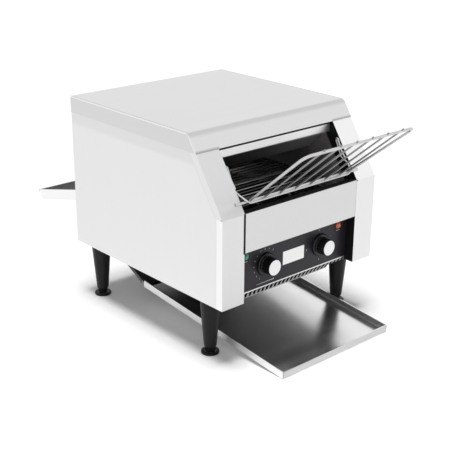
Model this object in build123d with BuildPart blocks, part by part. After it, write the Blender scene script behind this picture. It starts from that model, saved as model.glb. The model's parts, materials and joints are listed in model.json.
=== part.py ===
"""Conveyor toaster: a counter-top machine that carries bread on a wire belt between
heating tubes and returns the toast on a tray in front or behind.

Right-handed frame, millimetres. +X is the operator's right, +Y runs to the back and +Z
is up. The origin is on the worktop, under the middle of the overall length and width.
"""

from build123d import *
from math import atan2, cos, degrees, pi, radians, sin, tan
import os

os.makedirs("parts", exist_ok=True)

# ---------------------------------------------------------------- driving sizes
# Casing of folded stainless sheet
casing_width = 366.4
casing_depth = 418.0
casing_height = 387.0
casing_bottom = 104.6
sheet = 0.8
bend_height = 261.5
slope_angle = 56.0
side_band = 48.2
flange_lip = 24.0
bottom_flange = 46.0
top_flange = 18.0
relief_notch = 3.0

# Lid over the casing
lid_gap = 0.2
lid_skirt = 30.0
lid_bend_radius = 13.0

# Front plates
fascia_inset = 2.0
fascia_bottom = 193.0
fascia_over_bend = 1.0
fascia_return = 14.0
rail_setback = 70.0
rail_below_lid = 49.8
rail_height = 14.6
rail_return = 12.0
rail_inset = 7.0
panel_setback = 20.0
panel_sheet = 1.2
panel_bottom = 111.5
panel_return = 6.4
pan_lip_gap = 3.2
vent_setback = 40.0
vent_inset = 23.0
vent_height = 17.0
vent_flange = 10.0
vent_slot_width = 3.6
vent_slot_length = 11.0
vent_slot_rise = 7.8
vent_slot_margin = 12.0
vent_slot_count = 21
vent_slot_lean = 43.0
vent_corner = 9.0

# Conveyor: wire belt, twelve-tooth sprockets, two shafts
belt_pitch = 12.7
sprocket_teeth = 12
belt_back_room = 65.0
belt_inset = 16.0
rung_d = 2.4
hook_thickness = 1.5
hook_width = 1.8
hook_inset = 7.0
shaft_d = 10.0
shaft_rise = 37.0
shaft_setback = 42.0
shaft_run_gap = 0.05
shaft_end_play = 0.3
sprocket_face = 4.0
sprocket_spacing = 75.0
tooth_height = 2.4
tooth_tip_share = 0.4
shaft_core_across = 12.0
hub_d = 20.0
hub_length = 14.0
bush_across = 17.0
bush_inside = 2.0
bush_outside = 3.0

# Drive: gear motor on a bracket, coupled to the end of the back shaft
coupling_d = 18.0
coupling_length = 12.0
coupling_start = 2.0
motor_d = 60.0
motor_length = 22.0
motor_cover = 42.0
motor_standoff = 20.0
motor_shaft_d = 7.0
bracket_sheet = 1.5
bracket_width = 50.0
bracket_height = 76.0
bracket_foot = 12.0

# Oven
tunnel_wall_below_lid = 27.8
tube_d = 8.0
tube_overhang = 9.0
holder_side_length = 14.0
holder_length = 9.0
upper_tube_below_lid = 81.0
upper_tube_first = 150.0
upper_tube_last = 144.0
lower_tube_first = 116.0
lower_tube_last = 146.0
tubes_per_row = 3
ceiling_below_lid = 61.0
ceiling_back_gap = 54.5
ceiling_drop = 30.0
shield_foot_below_lid = 87.0
shield_foot_setback = 118.0
baffle_rise = 2.0
baffle_back_gap = 88.0

# Way out under the casing
chute_side_gap = 6.0
chute_overlap = 4.1
chute_foot_gap = 4.3
chute_head_height = 116.6
chute_hem = 8.0
chute_hem_start = 14.0
chute_flange = 12.0
pan_hole_start = 118.0
pan_hole_inset = 3.0
chute_pass_gap = 5.5
pan_upstand = 6.0
ledge_depth = 22.0

# Front catch tray
tray_side_gap = 4.0
tray_slope = 5.8
tray_length = 373.0
tray_wall = 12.5
tray_sheet = 1.0
tray_hem = 5.0
tray_front_clear = 0.4
tray_front_setback = -91.0
tray_corner_seam = 0.8

# Rear tray
rear_side_gap = 5.0
rear_slope = 14.0
rear_length = 287.7
rear_wall = 21.0
rear_sheet = 1.0
rear_lip = 7.0
rear_lip_drop = 3.0
rear_inside = 66.0
rear_sill_height = 172.0
rear_hole_height = 72.0
rear_hole_below = 8.0
runner_width = 11.0
runner_height = 9.0
runner_gap = 0.3

# Feed rack of welded wire
pivot_rise = 15.8
pivot_d = 5.0
pivot_overlap = 12.0
pivot_fit = 0.05
slot_end_gap = 0.5
rack_angle = 39.0
rack_length = 177.0
rack_tip = 7.0
rack_frame_d = 4.8
rack_foot_inset = 15.5
rack_end_inset = 6.0
rack_corner_radius = 14.0
rack_wire_d = 3.2
rack_wire_count = 6
rack_wire_pitch = 34.0
rack_tip_pitch = 36.0
cross_wire_d = 3.6
cross_wire_turn = 38.0
guard_inset = 3.0
guard_bend = 8.0
guard_arm_back = 10.0
guard_arm_rise = 12.0
guard_knee_back = 27.0
guard_knee_rise = 20.0
guard_upright = 33.4
guard_lean = 69.0
guard_width = 4.6
rack_tab_length = 26.0
rack_tab_width = 8.0
rack_tab_sheet = 1.2
rack_tab_at = 85.0

# Controls
knob_spacing = 134.0
knob_drop = 42.0
skirt_d = 42.0
skirt_thickness = 4.6
knob_d = 31.0
knob_front_d = 29.2
knob_depth = 23.0
knob_gap = 0.4
knob_recess_d = 18.0
knob_recess_depth = 4.0
cap_d = 27.5
cap_thickness = 1.0
spindle_d = 6.0
spindle_gap = 0.05
spindle_length = 34.0
bushing_d = 9.0
bushing_out = 2.8
controller_d = 24.0
controller_length = 11.0
switch_side = 38.0
switch_length = 28.0
lamp_inset = 21.5
lamp_drop = 16.5
lamp_bezel_d = 12.0
lamp_lens_d = 9.6
lamp_lens_height = 2.6
lamp_bezel_height = 1.2
lamp_body_d = 9.0
lamp_body_length = 18.0
label_width = 52.0
label_height = 24.6
label_drop = 56.0
label_sheet = 0.5
hole_gap = 0.2

# Legs and levelling feet
leg_inset = 24.2
leg_front_setback = 57.0
leg_back_inset = 43.0
leg_collar_d = 40.0
leg_collar = 3.0
leg_top_d = 36.0
leg_ankle_d = 22.0
leg_ankle_height = 14.0
leg_neck_d = 17.0
leg_neck_height = 9.0
leg_sides = 24
foot_d = 32.0
foot_height = 4.6
foot_nut_across = 14.0
foot_gap = 0.3
stud_d = 8.0
stud_length = 26.0
stud_gap = 0.05

# Supply side
gland_d = 20.0
gland_height = 140.0
gland_inset = 33.2
gland_length = 12.0
terminal_length = 40.0
terminal_width = 18.0
terminal_height = 16.0
terminal_setback = 60.0
rear_vent_offset = 70.0
rear_vent_drop = 70.0
rear_vent_width = 30.0
rear_vent_height = 3.0
rear_vent_pitch = 8.0
rear_vent_count = 4

# ---------------------------------------------------------------- derived places
slope = radians(slope_angle)
rack = radians(rack_angle)
tray_tilt = radians(tray_slope)
rear_tilt = radians(rear_slope)

# across
opening_width = casing_width - 2 * side_band
half_width = casing_width / 2
inner_half = half_width - sheet
half_open = opening_width / 2
wall_x = half_open + sheet
fascia_width = opening_width - 2 * fascia_inset
vent_width = opening_width - 2 * vent_inset
vent_slot_pitch = (vent_width - 2 * vent_slot_margin) / (vent_slot_count - 1)
belt_width = opening_width - 2 * belt_inset
chute_half_width = half_open - chute_side_gap
pan_hole_half_width = half_open - pan_hole_inset
tray_half_width = half_open - tray_side_gap
rear_half_width = half_open - rear_side_gap
pivot_half_length = half_open + pivot_overlap
rail_half = half_open - rail_inset
rack_foot_half = half_open - rack_foot_inset
rack_end_half = half_open - rack_end_inset
guard_half = half_open - guard_inset
lamp_spacing = opening_width - 2 * lamp_inset
leg_spacing = casing_width - 2 * leg_inset
gland_offset = half_width - gland_inset

# heights
side_top = casing_height - sheet - lid_gap
pan_bottom = casing_bottom + sheet
pan_top = pan_bottom + sheet
pivot_height = bend_height + pivot_rise
baffle_height = fascia_bottom + baffle_rise
shaft_height = baffle_height + shaft_rise
knob_height = fascia_bottom - knob_drop
lamp_height = fascia_bottom - lamp_drop
label_bottom = fascia_bottom - label_drop
rail_bottom = casing_height - rail_below_lid
ceiling_height = casing_height - ceiling_below_lid
shield_foot_height = casing_height - shield_foot_below_lid
upper_tube_height = casing_height - upper_tube_below_lid

# front to back; the overall length is centred on the origin
wire_lift = (rack_frame_d + rack_wire_d) / 2 - 0.5
pivot_setback = pivot_rise / tan(slope)
front_reach = rack_length * cos(rack) + (rack_wire_d / 2 - wire_lift) * sin(rack) - pivot_setback
rear_reach = (casing_depth - rear_inside + (rear_length + rear_lip) * cos(rear_tilt)
              + rear_wall * sin(rear_tilt))
front_y = (front_reach - rear_reach) / 2
back_y = front_y + casing_depth

rear_face = back_y - 2 * sheet
panel_y = front_y + panel_setback
pivot_y = front_y + pivot_setback
belt_radius = belt_pitch / (2 * sin(pi / sprocket_teeth))
belt_span = int((casing_depth - shaft_setback - belt_back_room) / belt_pitch)
idler_y = front_y + shaft_setback
drive_y = idler_y + belt_span * belt_pitch
lid_inner_radius = lid_bend_radius - sheet - lid_gap
tray_front_y = front_y + tray_front_setback
tray_back_y = tray_front_y + tray_length * cos(tray_tilt)
tray_back_z = tray_front_clear + tray_length * sin(tray_tilt)
chute_foot_y = tray_back_y - chute_overlap
chute_foot_height = tray_back_z + chute_foot_gap
chute_head_y = rear_face - sheet
chute_tilt = atan2(chute_head_height - chute_foot_height, chute_head_y - chute_foot_y)
pan_hole_front_y = back_y - pan_hole_start
pan_hole_back_y = chute_foot_y + (pan_bottom - chute_foot_height) / tan(chute_tilt) + chute_pass_gap


def slope_y(z, inward=0.0):
    """Y of the sloped front plane at height z, moved inwards square to itself."""
    return front_y + (z - bend_height) / tan(slope) + inward / sin(slope)


def loop_points(pitch, teeth, span):
    """Hinge points of a belt round two equal sprockets, in order."""
    radius = pitch / (2 * sin(pi / teeth))
    step = 2 * pi / teeth
    half = teeth // 2
    points = [(k * pitch, radius) for k in range(span + 1)]
    points += [(span * pitch + radius * sin(j * step), radius * cos(j * step))
               for j in range(1, half)]
    points += [((span - k) * pitch, -radius) for k in range(span + 1)]
    points += [(-radius * sin(j * step), -radius * cos(j * step)) for j in range(1, half)]
    return points


def at_x(x, y, z, turn=0.0):
    """Plane square to the X axis at a point; its own x axis starts along +Y."""
    c = cos(radians(turn))
    s = sin(radians(turn))
    return Plane(origin=(x, y, z), x_dir=(0, c, s), z_dir=(1, 0, 0))


def front_band(depth):
    """Closed outline of the front strip, from the outer face inwards by depth."""
    bend_shift = depth * (1 - cos(slope)) / sin(slope)
    return [
        (front_y, casing_bottom),
        (front_y, bend_height),
        (slope_y(side_top), side_top),
        (slope_y(side_top, depth), side_top),
        (front_y + depth, bend_height - bend_shift),
        (front_y + depth, casing_bottom),
    ]


# ---------------------------------------------------------------- side panels
def side_panel(side):
    """Side sheet with front, top, back and bottom flanges and a returned front lip."""
    outline = [
        (front_y, casing_bottom),
        (front_y, bend_height),
        (slope_y(side_top), side_top),
        (back_y, side_top),
        (back_y, casing_bottom),
    ]
    with BuildPart() as panel:
        with BuildSketch(Plane.YZ.offset(inner_half)):
            with BuildLine():
                Polyline(*outline, close=True)
            make_face()
        extrude(amount=sheet)
        # front flange, sloped flange
        with BuildSketch(Plane.YZ.offset(half_open)):
            with BuildLine():
                Polyline(*front_band(sheet), close=True)
            make_face()
        extrude(amount=half_width - half_open)
        # lip turned back along the inner edge
        with BuildSketch(Plane.YZ.offset(half_open)):
            with BuildLine():
                Polyline(*front_band(flange_lip), close=True)
            make_face()
        extrude(amount=sheet)
        # bottom, top and back flanges
        with BuildSketch(Plane.XY.offset(casing_bottom)):
            with Locations((half_width - bottom_flange / 2, (front_y + back_y) / 2)):
                Rectangle(bottom_flange, casing_depth)
        extrude(amount=sheet)
        with BuildSketch(Plane.XY.offset(side_top - sheet)):
            with Locations((half_width - top_flange / 2, (slope_y(side_top) + back_y) / 2)):
                Rectangle(top_flange, back_y - slope_y(side_top))
        extrude(amount=sheet)
        with BuildSketch(Plane.XZ.offset(-back_y)):
            with Locations((half_width - top_flange / 2, (casing_bottom + side_top) / 2)):
                Rectangle(top_flange, side_top - casing_bottom)
        extrude(amount=sheet)
        # open slot for the end of the rack's pivot rod
        with BuildSketch(Plane.YZ.offset(half_open - sheet)):
            with Locations((pivot_y, pivot_height)):
                Circle(pivot_d / 2 + pivot_fit)
        extrude(amount=pivot_half_length + slot_end_gap - half_open + sheet, mode=Mode.SUBTRACT)
        # relief at the end of the bend line
        with BuildSketch(Plane.YZ.offset(half_open - sheet)):
            with Locations((front_y, bend_height)):
                Rectangle(relief_notch, relief_notch)
        extrude(amount=relief_notch, mode=Mode.SUBTRACT)
        # the top of the slope is rounded to lie under the bend of the lid
        with BuildSketch(Plane.YZ.offset(half_open - sheet)):
            with BuildLine():
                Polyline(*outline, close=True)
            make_face()
            fillet(vertices().sort_by_distance((slope_y(side_top), side_top))[0], lid_inner_radius)
        extrude(amount=half_width - half_open + 2 * sheet, mode=Mode.INTERSECT)
        if side < 0:
            mirror(about=Plane.YZ, mode=Mode.REPLACE)
    return panel.part


right_side_panel = side_panel(1)
right_side_panel.label = "right_side_panel"
export_step(right_side_panel, "parts/right_side_panel.step")
left_side_panel = side_panel(-1)
left_side_panel.label = "left_side_panel"
export_step(left_side_panel, "parts/left_side_panel.step")

# ---------------------------------------------------------------- lid
lid_half = half_width + lid_gap + sheet
lid_bottom = casing_height - lid_skirt
lid_back = back_y + lid_gap + sheet
with BuildPart() as top_cover:
    with BuildSketch(Plane.YZ.offset(-lid_half)):
        with BuildLine():
            Polyline(
                (slope_y(lid_bottom, -lid_gap - sheet), lid_bottom),
                (slope_y(casing_height, -lid_gap - sheet), casing_height),
                (lid_back, casing_height),
                (lid_back, lid_bottom),
                close=True,
            )
        make_face()
        fillet(vertices().group_by(Axis.X)[1], lid_bend_radius)
    extrude(amount=2 * lid_half)
    with BuildSketch(Plane.YZ.offset(-lid_half + sheet)):
        with BuildLine():
            Polyline(
                (slope_y(lid_bottom - 2 * sheet, -lid_gap), lid_bottom - 2 * sheet),
                (slope_y(casing_height - sheet, -lid_gap), casing_height - sheet),
                (lid_back - sheet, casing_height - sheet),
                (lid_back - sheet, lid_bottom - 2 * sheet),
                close=True,
            )
        make_face()
        fillet(vertices().group_by(Axis.X)[1], lid_bend_radius - sheet)
    extrude(amount=2 * (lid_half - sheet), mode=Mode.SUBTRACT)
top_cover.part.label = "top_cover"
export_step(top_cover.part, "parts/top_cover.step")

# ---------------------------------------------------------------- base pan
pan_step_y = front_y + flange_lip + pan_lip_gap
with BuildPart() as base_pan:
    with BuildSketch(Plane.XY.offset(pan_bottom)):
        with Locations((0, (pan_step_y + rear_face) / 2)):
            Rectangle(2 * inner_half, rear_face - pan_step_y)
        with Locations((0, (panel_y + pan_step_y) / 2)):
            Rectangle(2 * half_open, pan_step_y - panel_y)
        with Locations((0, (pan_hole_front_y + pan_hole_back_y) / 2)):
            Rectangle(2 * pan_hole_half_width, pan_hole_back_y - pan_hole_front_y, mode=Mode.SUBTRACT)
    extrude(amount=sheet)
    # front edge between the panels' lips, turned up to the control panel
    with BuildSketch(Plane.XZ.offset(-panel_y)):
        with Locations((0, (pan_top + panel_bottom) / 2)):
            Rectangle(2 * half_open, panel_bottom - pan_top)
    extrude(amount=-sheet)
    # turned-up edges beside the opening for the chute
    for edge_side in (-1, 1):
        with BuildSketch(Plane.XY.offset(pan_top)):
            with Locations((edge_side * (pan_hole_half_width + sheet / 2),
                            (pan_hole_front_y + pan_upstand + pan_hole_back_y) / 2)):
                Rectangle(sheet, pan_hole_back_y - pan_hole_front_y - pan_upstand)
        extrude(amount=pan_upstand)
base_pan.part.label = "base_pan"
export_step(base_pan.part, "parts/base_pan.step")

# ---------------------------------------------------------------- slotted strip
vent_y = front_y + vent_setback
with BuildPart() as front_vent_strip:
    with BuildSketch(Plane.XZ.offset(-vent_y)):
        with Locations((0, pan_bottom - vent_height / 2)):
            Rectangle(vent_width, vent_height)
        fillet(vertices().group_by(Axis.Y)[0], vent_corner)
        with Locations((0, pan_bottom - vent_height + vent_slot_rise)):
            with GridLocations(vent_slot_pitch, 1, vent_slot_count, 1):
                Rectangle(vent_slot_width, vent_slot_length, rotation=-vent_slot_lean,
                          mode=Mode.SUBTRACT)
    extrude(amount=sheet)
    # flange that hangs it under the pan
    with BuildSketch(Plane.XY.offset(pan_bottom - sheet)):
        with Locations((0, vent_y + vent_flange / 2)):
            Rectangle(vent_width, vent_flange)
    extrude(amount=sheet)
front_vent_strip.part.label = "front_vent_strip"
export_step(front_vent_strip.part, "parts/front_vent_strip.step")

# ---------------------------------------------------------------- rear panel
rear_hole_bottom = rear_sill_height - rear_hole_below
with BuildPart() as rear_panel:
    with BuildSketch(Plane.XZ.offset(-back_y + sheet)):
        with Locations((0, (pan_bottom + side_top - sheet) / 2)):
            Rectangle(2 * inner_half, side_top - sheet - pan_bottom)
        with Locations((0, rear_hole_bottom + rear_hole_height / 2)):
            Rectangle(2 * pan_hole_half_width, rear_hole_height, mode=Mode.SUBTRACT)
        with Locations((gland_offset, gland_height)):
            RegularPolygon(gland_d / 2 + hole_gap, 8, mode=Mode.SUBTRACT)
        for vent_side in (-1, 1):
            with Locations((vent_side * rear_vent_offset, casing_height - rear_vent_drop)):
                with GridLocations(1, rear_vent_pitch, 1, rear_vent_count):
                    Rectangle(rear_vent_width, rear_vent_height, mode=Mode.SUBTRACT)
    extrude(amount=sheet)
rear_panel.part.label = "rear_panel"
export_step(rear_panel.part, "parts/rear_panel.step")

# ---------------------------------------------------------------- front fascia
fascia_top = bend_height + fascia_over_bend
with BuildPart() as front_fascia:
    with BuildSketch(Plane.YZ.offset(-fascia_width / 2)):
        with BuildLine():
            Polyline(
                (front_y + panel_setback + panel_sheet, fascia_bottom),
                (front_y, fascia_bottom),
                (front_y, fascia_top),
                (front_y + fascia_return, fascia_top),
                (front_y + fascia_return, fascia_top - sheet),
                (front_y + sheet, fascia_top - sheet),
                (front_y + sheet, fascia_bottom + sheet),
                (front_y + panel_setback + panel_sheet, fascia_bottom + sheet),
                close=True,
            )
        make_face()
    extrude(amount=fascia_width)
front_fascia.part.label = "front_fascia"
export_step(front_fascia.part, "parts/front_fascia.step")

# ---------------------------------------------------------------- rail over the mouth
rail_y = front_y + rail_setback
rail_top = rail_bottom + rail_height
with BuildPart() as upper_front_rail:
    with BuildSketch(Plane.YZ.offset(-rail_half)):
        with BuildLine():
            Polyline(
                (rail_y, rail_bottom),
                (rail_y, rail_top),
                (rail_y + rail_return, rail_top),
                (rail_y + rail_return, rail_top - sheet),
                (rail_y + sheet, rail_top - sheet),
                (rail_y + sheet, rail_bottom + sheet),
                (rail_y + rail_return, rail_bottom + sheet),
                (rail_y + rail_return, rail_bottom),
                close=True,
            )
        make_face()
    extrude(amount=2 * rail_half)
upper_front_rail.part.label = "upper_front_rail"
export_step(upper_front_rail.part, "parts/upper_front_rail.step")

# ---------------------------------------------------------------- control panel
with BuildPart() as control_panel:
    with BuildSketch(Plane.YZ.offset(-half_open)):
        with BuildLine():
            Polyline(
                (panel_y, panel_bottom),
                (panel_y, fascia_bottom),
                (panel_y + panel_sheet, fascia_bottom),
                (panel_y + panel_sheet, panel_bottom + panel_sheet),
                (panel_y + panel_return, panel_bottom + panel_sheet),
                (panel_y + panel_return, panel_bottom),
                close=True,
            )
        make_face()
    extrude(amount=2 * half_open)
    with BuildSketch(Plane.XZ.offset(-panel_y)):
        with Locations((-knob_spacing / 2, knob_height), (knob_spacing / 2, knob_height)):
            RegularPolygon(bushing_d / 2 + hole_gap, 8, major_radius=False)
        with Locations((-lamp_spacing / 2, lamp_height), (lamp_spacing / 2, lamp_height)):
            RegularPolygon(lamp_body_d / 2 + hole_gap, 8, major_radius=False)
    extrude(amount=-panel_sheet, mode=Mode.SUBTRACT)
control_panel.part.label = "control_panel"
export_step(control_panel.part, "parts/control_panel.step")

with BuildPart() as label_plate:
    with BuildSketch(Plane.XZ.offset(-panel_y)):
        with Locations((0, label_bottom + label_height / 2)):
            Rectangle(label_width, label_height)
    extrude(amount=label_sheet)
label_plate.part.label = "label_plate"
export_step(label_plate.part, "parts/label_plate.step")


# ---------------------------------------------------------------- oven side walls
def tube_places():
    """Centres of the heating tubes seen from the side, upper row then lower row."""
    rows = []
    for first, last, height in ((upper_tube_first, upper_tube_last, upper_tube_height),
                                (lower_tube_first, lower_tube_last, shaft_height)):
        pitch = (casing_depth - first - last) / (tubes_per_row - 1)
        rows.append([(front_y + first + k * pitch, height) for k in range(tubes_per_row)])
    return rows


upper_places, lower_places = tube_places()


def inner_wall(side):
    """Wall between the oven and a side compartment, lapped behind the front lip."""
    lap = flange_lip / 2
    wall_top = side_top - tunnel_wall_below_lid
    shift = lap * (1 - cos(slope)) / sin(slope)
    with BuildPart() as wall:
        with BuildSketch(Plane.YZ.offset(wall_x)):
            with BuildLine():
                Polyline(
                    (front_y + lap, pan_top),
                    (front_y + lap, bend_height - shift),
                    (slope_y(wall_top, lap), wall_top),
                    (rear_face, wall_top),
                    (rear_face, pan_top),
                    close=True,
                )
            make_face()
            with Locations(*upper_places, *lower_places):
                RegularPolygon(tube_d / 2 + hole_gap, 6, major_radius=False, mode=Mode.SUBTRACT)
            with Locations((idler_y, shaft_height), (drive_y, shaft_height)):
                RegularPolygon(bush_across / 2, 6, major_radius=False, mode=Mode.SUBTRACT)
        extrude(amount=sheet)
        if side < 0:
            mirror(about=Plane.YZ, mode=Mode.REPLACE)
    return wall.part


right_inner_wall = inner_wall(1)
right_inner_wall.label = "right_inner_wall"
export_step(right_inner_wall, "parts/right_inner_wall.step")
left_inner_wall = inner_wall(-1)
left_inner_wall.label = "left_inner_wall"
export_step(left_inner_wall, "parts/left_inner_wall.step")

# ---------------------------------------------------------------- sheets in the oven
foot_y = front_y + shield_foot_setback
shield_top = rail_bottom
shield_knee = rail_y + rail_return
shield_run = atan2(shield_top - shield_foot_height, foot_y - shield_knee)
with BuildPart() as heater_front_shield:
    with BuildSketch(Plane.YZ.offset(-half_open)):
        with BuildLine():
            Polyline(
                (rail_y + sheet, shield_top),
                (shield_knee, shield_top),
                (foot_y, shield_foot_height),
                (foot_y + 7, shield_foot_height),
                (foot_y + 7, shield_foot_height - sheet),
                (foot_y - sheet * tan(shield_run / 2), shield_foot_height - sheet),
                (shield_knee - sheet * tan(shield_run / 2), shield_top - sheet),
                (rail_y + sheet, shield_top - sheet),
                close=True,
            )
        make_face()
    extrude(amount=2 * half_open)
heater_front_shield.part.label = "heater_front_shield"
export_step(heater_front_shield.part, "parts/heater_front_shield.step")

ceiling_start = shield_knee + (shield_top - ceiling_height) / tan(shield_run)
ceiling_end = back_y - ceiling_back_gap
with BuildPart() as ceiling_reflector:
    with BuildSketch(Plane.YZ.offset(-wall_x)):
        with BuildLine():
            Polyline(
                (ceiling_start + sheet, ceiling_height),
                (ceiling_start + sheet, ceiling_height + sheet),
                (ceiling_end, ceiling_height + sheet),
                (ceiling_end, ceiling_height - ceiling_drop),
                (ceiling_end - sheet, ceiling_height - ceiling_drop),
                (ceiling_end - sheet, ceiling_height),
                close=True,
            )
        make_face()
    extrude(amount=2 * wall_x)
ceiling_reflector.part.label = "ceiling_reflector"
export_step(ceiling_reflector.part, "parts/ceiling_reflector.step")

hole_edge_y = pan_hole_front_y
bend_y = back_y - baffle_back_gap
baffle_fall = atan2(baffle_height - pan_top, bend_y - hole_edge_y)
with BuildPart() as crumb_baffle:
    with BuildSketch(Plane.YZ.offset(-wall_x)):
        with BuildLine():
            Polyline(
                (front_y + flange_lip + sheet, baffle_height),
                (bend_y, baffle_height),
                (hole_edge_y, pan_top),
                (hole_edge_y - sheet / sin(baffle_fall), pan_top),
                (bend_y - sheet / sin(baffle_fall) - sheet / tan(baffle_fall), baffle_height - sheet),
                (front_y + flange_lip + sheet, baffle_height - sheet),
                close=True,
            )
        make_face()
    extrude(amount=2 * wall_x)
crumb_baffle.part.label = "crumb_baffle"
export_step(crumb_baffle.part, "parts/crumb_baffle.step")


# ---------------------------------------------------------------- heating tubes
def tube_row(places):
    """One row of straight tubes that pass through both oven walls."""
    reach = wall_x + sheet + tube_overhang
    with BuildPart() as row:
        with BuildSketch(Plane.YZ.offset(-reach)):
            with Locations(*places):
                RegularPolygon(tube_d / 2, 12)
        extrude(amount=2 * reach)
    return row.part


upper_heater_tubes = tube_row(upper_places)
upper_heater_tubes.label = "upper_heater_tubes"
export_step(upper_heater_tubes, "parts/upper_heater_tubes.step")
lower_heater_tubes = tube_row(lower_places)
lower_heater_tubes.label = "lower_heater_tubes"
export_step(lower_heater_tubes, "parts/lower_heater_tubes.step")

with BuildPart() as heater_holders:
    for holder_side in (-1, 1):
        with BuildSketch(Plane.YZ.offset(holder_side * (wall_x + sheet))):
            with Locations(*upper_places, *lower_places):
                Rectangle(holder_side_length, holder_side_length)
                RegularPolygon(tube_d / 2 + hole_gap, 6, major_radius=False, mode=Mode.SUBTRACT)
        extrude(amount=holder_side * holder_length)
heater_holders.part.label = "heater_holders"
export_step(heater_holders.part, "parts/heater_holders.step")

# ---------------------------------------------------------------- wire belt
belt_points = loop_points(belt_pitch, sprocket_teeth, belt_span)
eye_in = rung_d / 2 + 0.3
eye_out = eye_in + hook_thickness
hook_outline = [
    (0, hook_thickness / 2),
    (belt_pitch - eye_in, eye_out),
    (belt_pitch + eye_out, eye_out),
    (belt_pitch + eye_out, -eye_in),
    (belt_pitch + eye_in, eye_in),
    (0, -hook_thickness / 2),
]


def belt_strand(shift):
    """One strand of the belt: a cross wire with a hook at each end for the next wire."""
    with BuildPart() as strand:
        with BuildSketch(at_x(-belt_width / 2, 0, 0)):
            RegularPolygon(rung_d / 2, 6)
        extrude(amount=belt_width)
        for station in (-1, 1):
            hook_x = station * (belt_width / 2 - hook_inset - shift) - hook_width / 2
            with BuildSketch(at_x(hook_x, 0, 0)):
                with BuildLine():
                    Polyline(*hook_outline, close=True)
                make_face()
            extrude(amount=hook_width)
    return strand.part


strand_places = []
for index, (run, rise) in enumerate(belt_points):
    ahead = belt_points[(index + 1) % len(belt_points)]
    heading = degrees(atan2(ahead[1] - rise, ahead[0] - run))
    strand_places.append(Location((0, idler_y + run, shaft_height + rise), (heading, 0, 0)))
with BuildPart() as conveyor_belt:
    # strands are alternately shifted so that each hook clears the next one
    with Locations(*strand_places[0::2]):
        add(belt_strand(0))
    with Locations(*strand_places[1::2]):
        add(belt_strand(hook_width + 0.6))
conveyor_belt.part.label = "conveyor_belt"
export_step(conveyor_belt.part, "parts/conveyor_belt.step")


# ---------------------------------------------------------------- shafts and sprockets
def tooth_outline(radius, teeth, seat_width, tip, tip_share):
    """Corners of a sprocket: a flat seat for each wire and a flat-topped tooth between."""
    step = 2 * pi / teeth
    seat_radius = radius - seat_width / 2
    corners = []
    for k in range(teeth):
        centre = k * step
        for offset in (-1, 1):
            corners.append((seat_radius * cos(centre) - offset * seat_width / 2 * sin(centre),
                            seat_radius * sin(centre) + offset * seat_width / 2 * cos(centre)))
        for offset in (-1, 1):
            tip_angle = centre + step / 2 + offset * step * tip_share / 2
            corners.append(((radius + tip) * cos(tip_angle), (radius + tip) * sin(tip_angle)))
    return corners


shaft_left = -(wall_x + sheet + bush_outside + 3)
core_half = wall_x - bush_inside - shaft_end_play
coupling_x = wall_x + sheet + bush_outside + coupling_start


def belt_shaft(y, left_end, right_end):
    """Shaft with three belt sprockets and their hubs."""
    with BuildPart() as shaft:
        # hexagonal bar between the walls, turned down to a round journal at each end
        with BuildSketch(at_x(-core_half, y, shaft_height)):
            RegularPolygon(shaft_core_across / 2, 6, major_radius=False)
        extrude(amount=2 * core_half)
        with BuildSketch(at_x(left_end, y, shaft_height)):
            Circle(shaft_d / 2)
        extrude(amount=-core_half - left_end)
        with BuildSketch(at_x(core_half, y, shaft_height)):
            Circle(shaft_d / 2)
        extrude(amount=right_end - core_half)
        for place in (-sprocket_spacing, 0, sprocket_spacing):
            with BuildSketch(at_x(place - sprocket_face / 2, y, shaft_height)):
                with BuildLine():
                    Polyline(*tooth_outline(belt_radius, sprocket_teeth, rung_d + 0.4,
                                            tooth_height, tooth_tip_share), close=True)
                make_face()
            extrude(amount=sprocket_face)
            with BuildSketch(at_x(place - hub_length / 2, y, shaft_height)):
                RegularPolygon(hub_d / 2, 8)
            extrude(amount=hub_length)
    return shaft.part


drive_shaft = belt_shaft(drive_y, shaft_left, coupling_x + coupling_length / 2)
drive_shaft.label = "drive_shaft"
export_step(drive_shaft, "parts/drive_shaft.step")
idler_shaft = belt_shaft(idler_y, shaft_left, -shaft_left)
idler_shaft.label = "idler_shaft"
export_step(idler_shaft, "parts/idler_shaft.step")

with BuildPart() as shaft_bushes:
    for bush_side in (-1, 1):
        with BuildSketch(Plane.YZ.offset(bush_side * (wall_x - bush_inside))):
            with Locations((idler_y, shaft_height), (drive_y, shaft_height)):
                RegularPolygon(bush_across / 2, 6, major_radius=False)
                Circle(shaft_d / 2 + shaft_run_gap, mode=Mode.SUBTRACT)
        extrude(amount=bush_side * (bush_inside + sheet + bush_outside))
shaft_bushes.part.label = "shaft_bushes"
export_step(shaft_bushes.part, "parts/shaft_bushes.step")

# ---------------------------------------------------------------- drive
motor_face = wall_x + sheet + motor_standoff
with BuildPart() as shaft_coupling:
    with BuildSketch(at_x(coupling_x, drive_y, shaft_height)):
        RegularPolygon(coupling_d / 2, 8)
    extrude(amount=coupling_length)
    with BuildSketch(at_x(coupling_x, drive_y, shaft_height)):
        RegularPolygon(shaft_d / 2, 8, major_radius=False)
    extrude(amount=coupling_length / 2, mode=Mode.SUBTRACT)
    with BuildSketch(at_x(coupling_x + coupling_length / 2, drive_y, shaft_height)):
        RegularPolygon(motor_shaft_d / 2, 8, major_radius=False)
    extrude(amount=coupling_length / 2, mode=Mode.SUBTRACT)
shaft_coupling.part.label = "shaft_coupling"
export_step(shaft_coupling.part, "parts/shaft_coupling.step")

with BuildPart() as motor_shaft:
    with BuildSketch(at_x(coupling_x + coupling_length / 2, drive_y, shaft_height)):
        Circle(motor_shaft_d / 2)
    extrude(amount=motor_face + motor_length / 2 - coupling_x - coupling_length / 2)
motor_shaft.part.label = "motor_shaft"
export_step(motor_shaft.part, "parts/motor_shaft.step")

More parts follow.
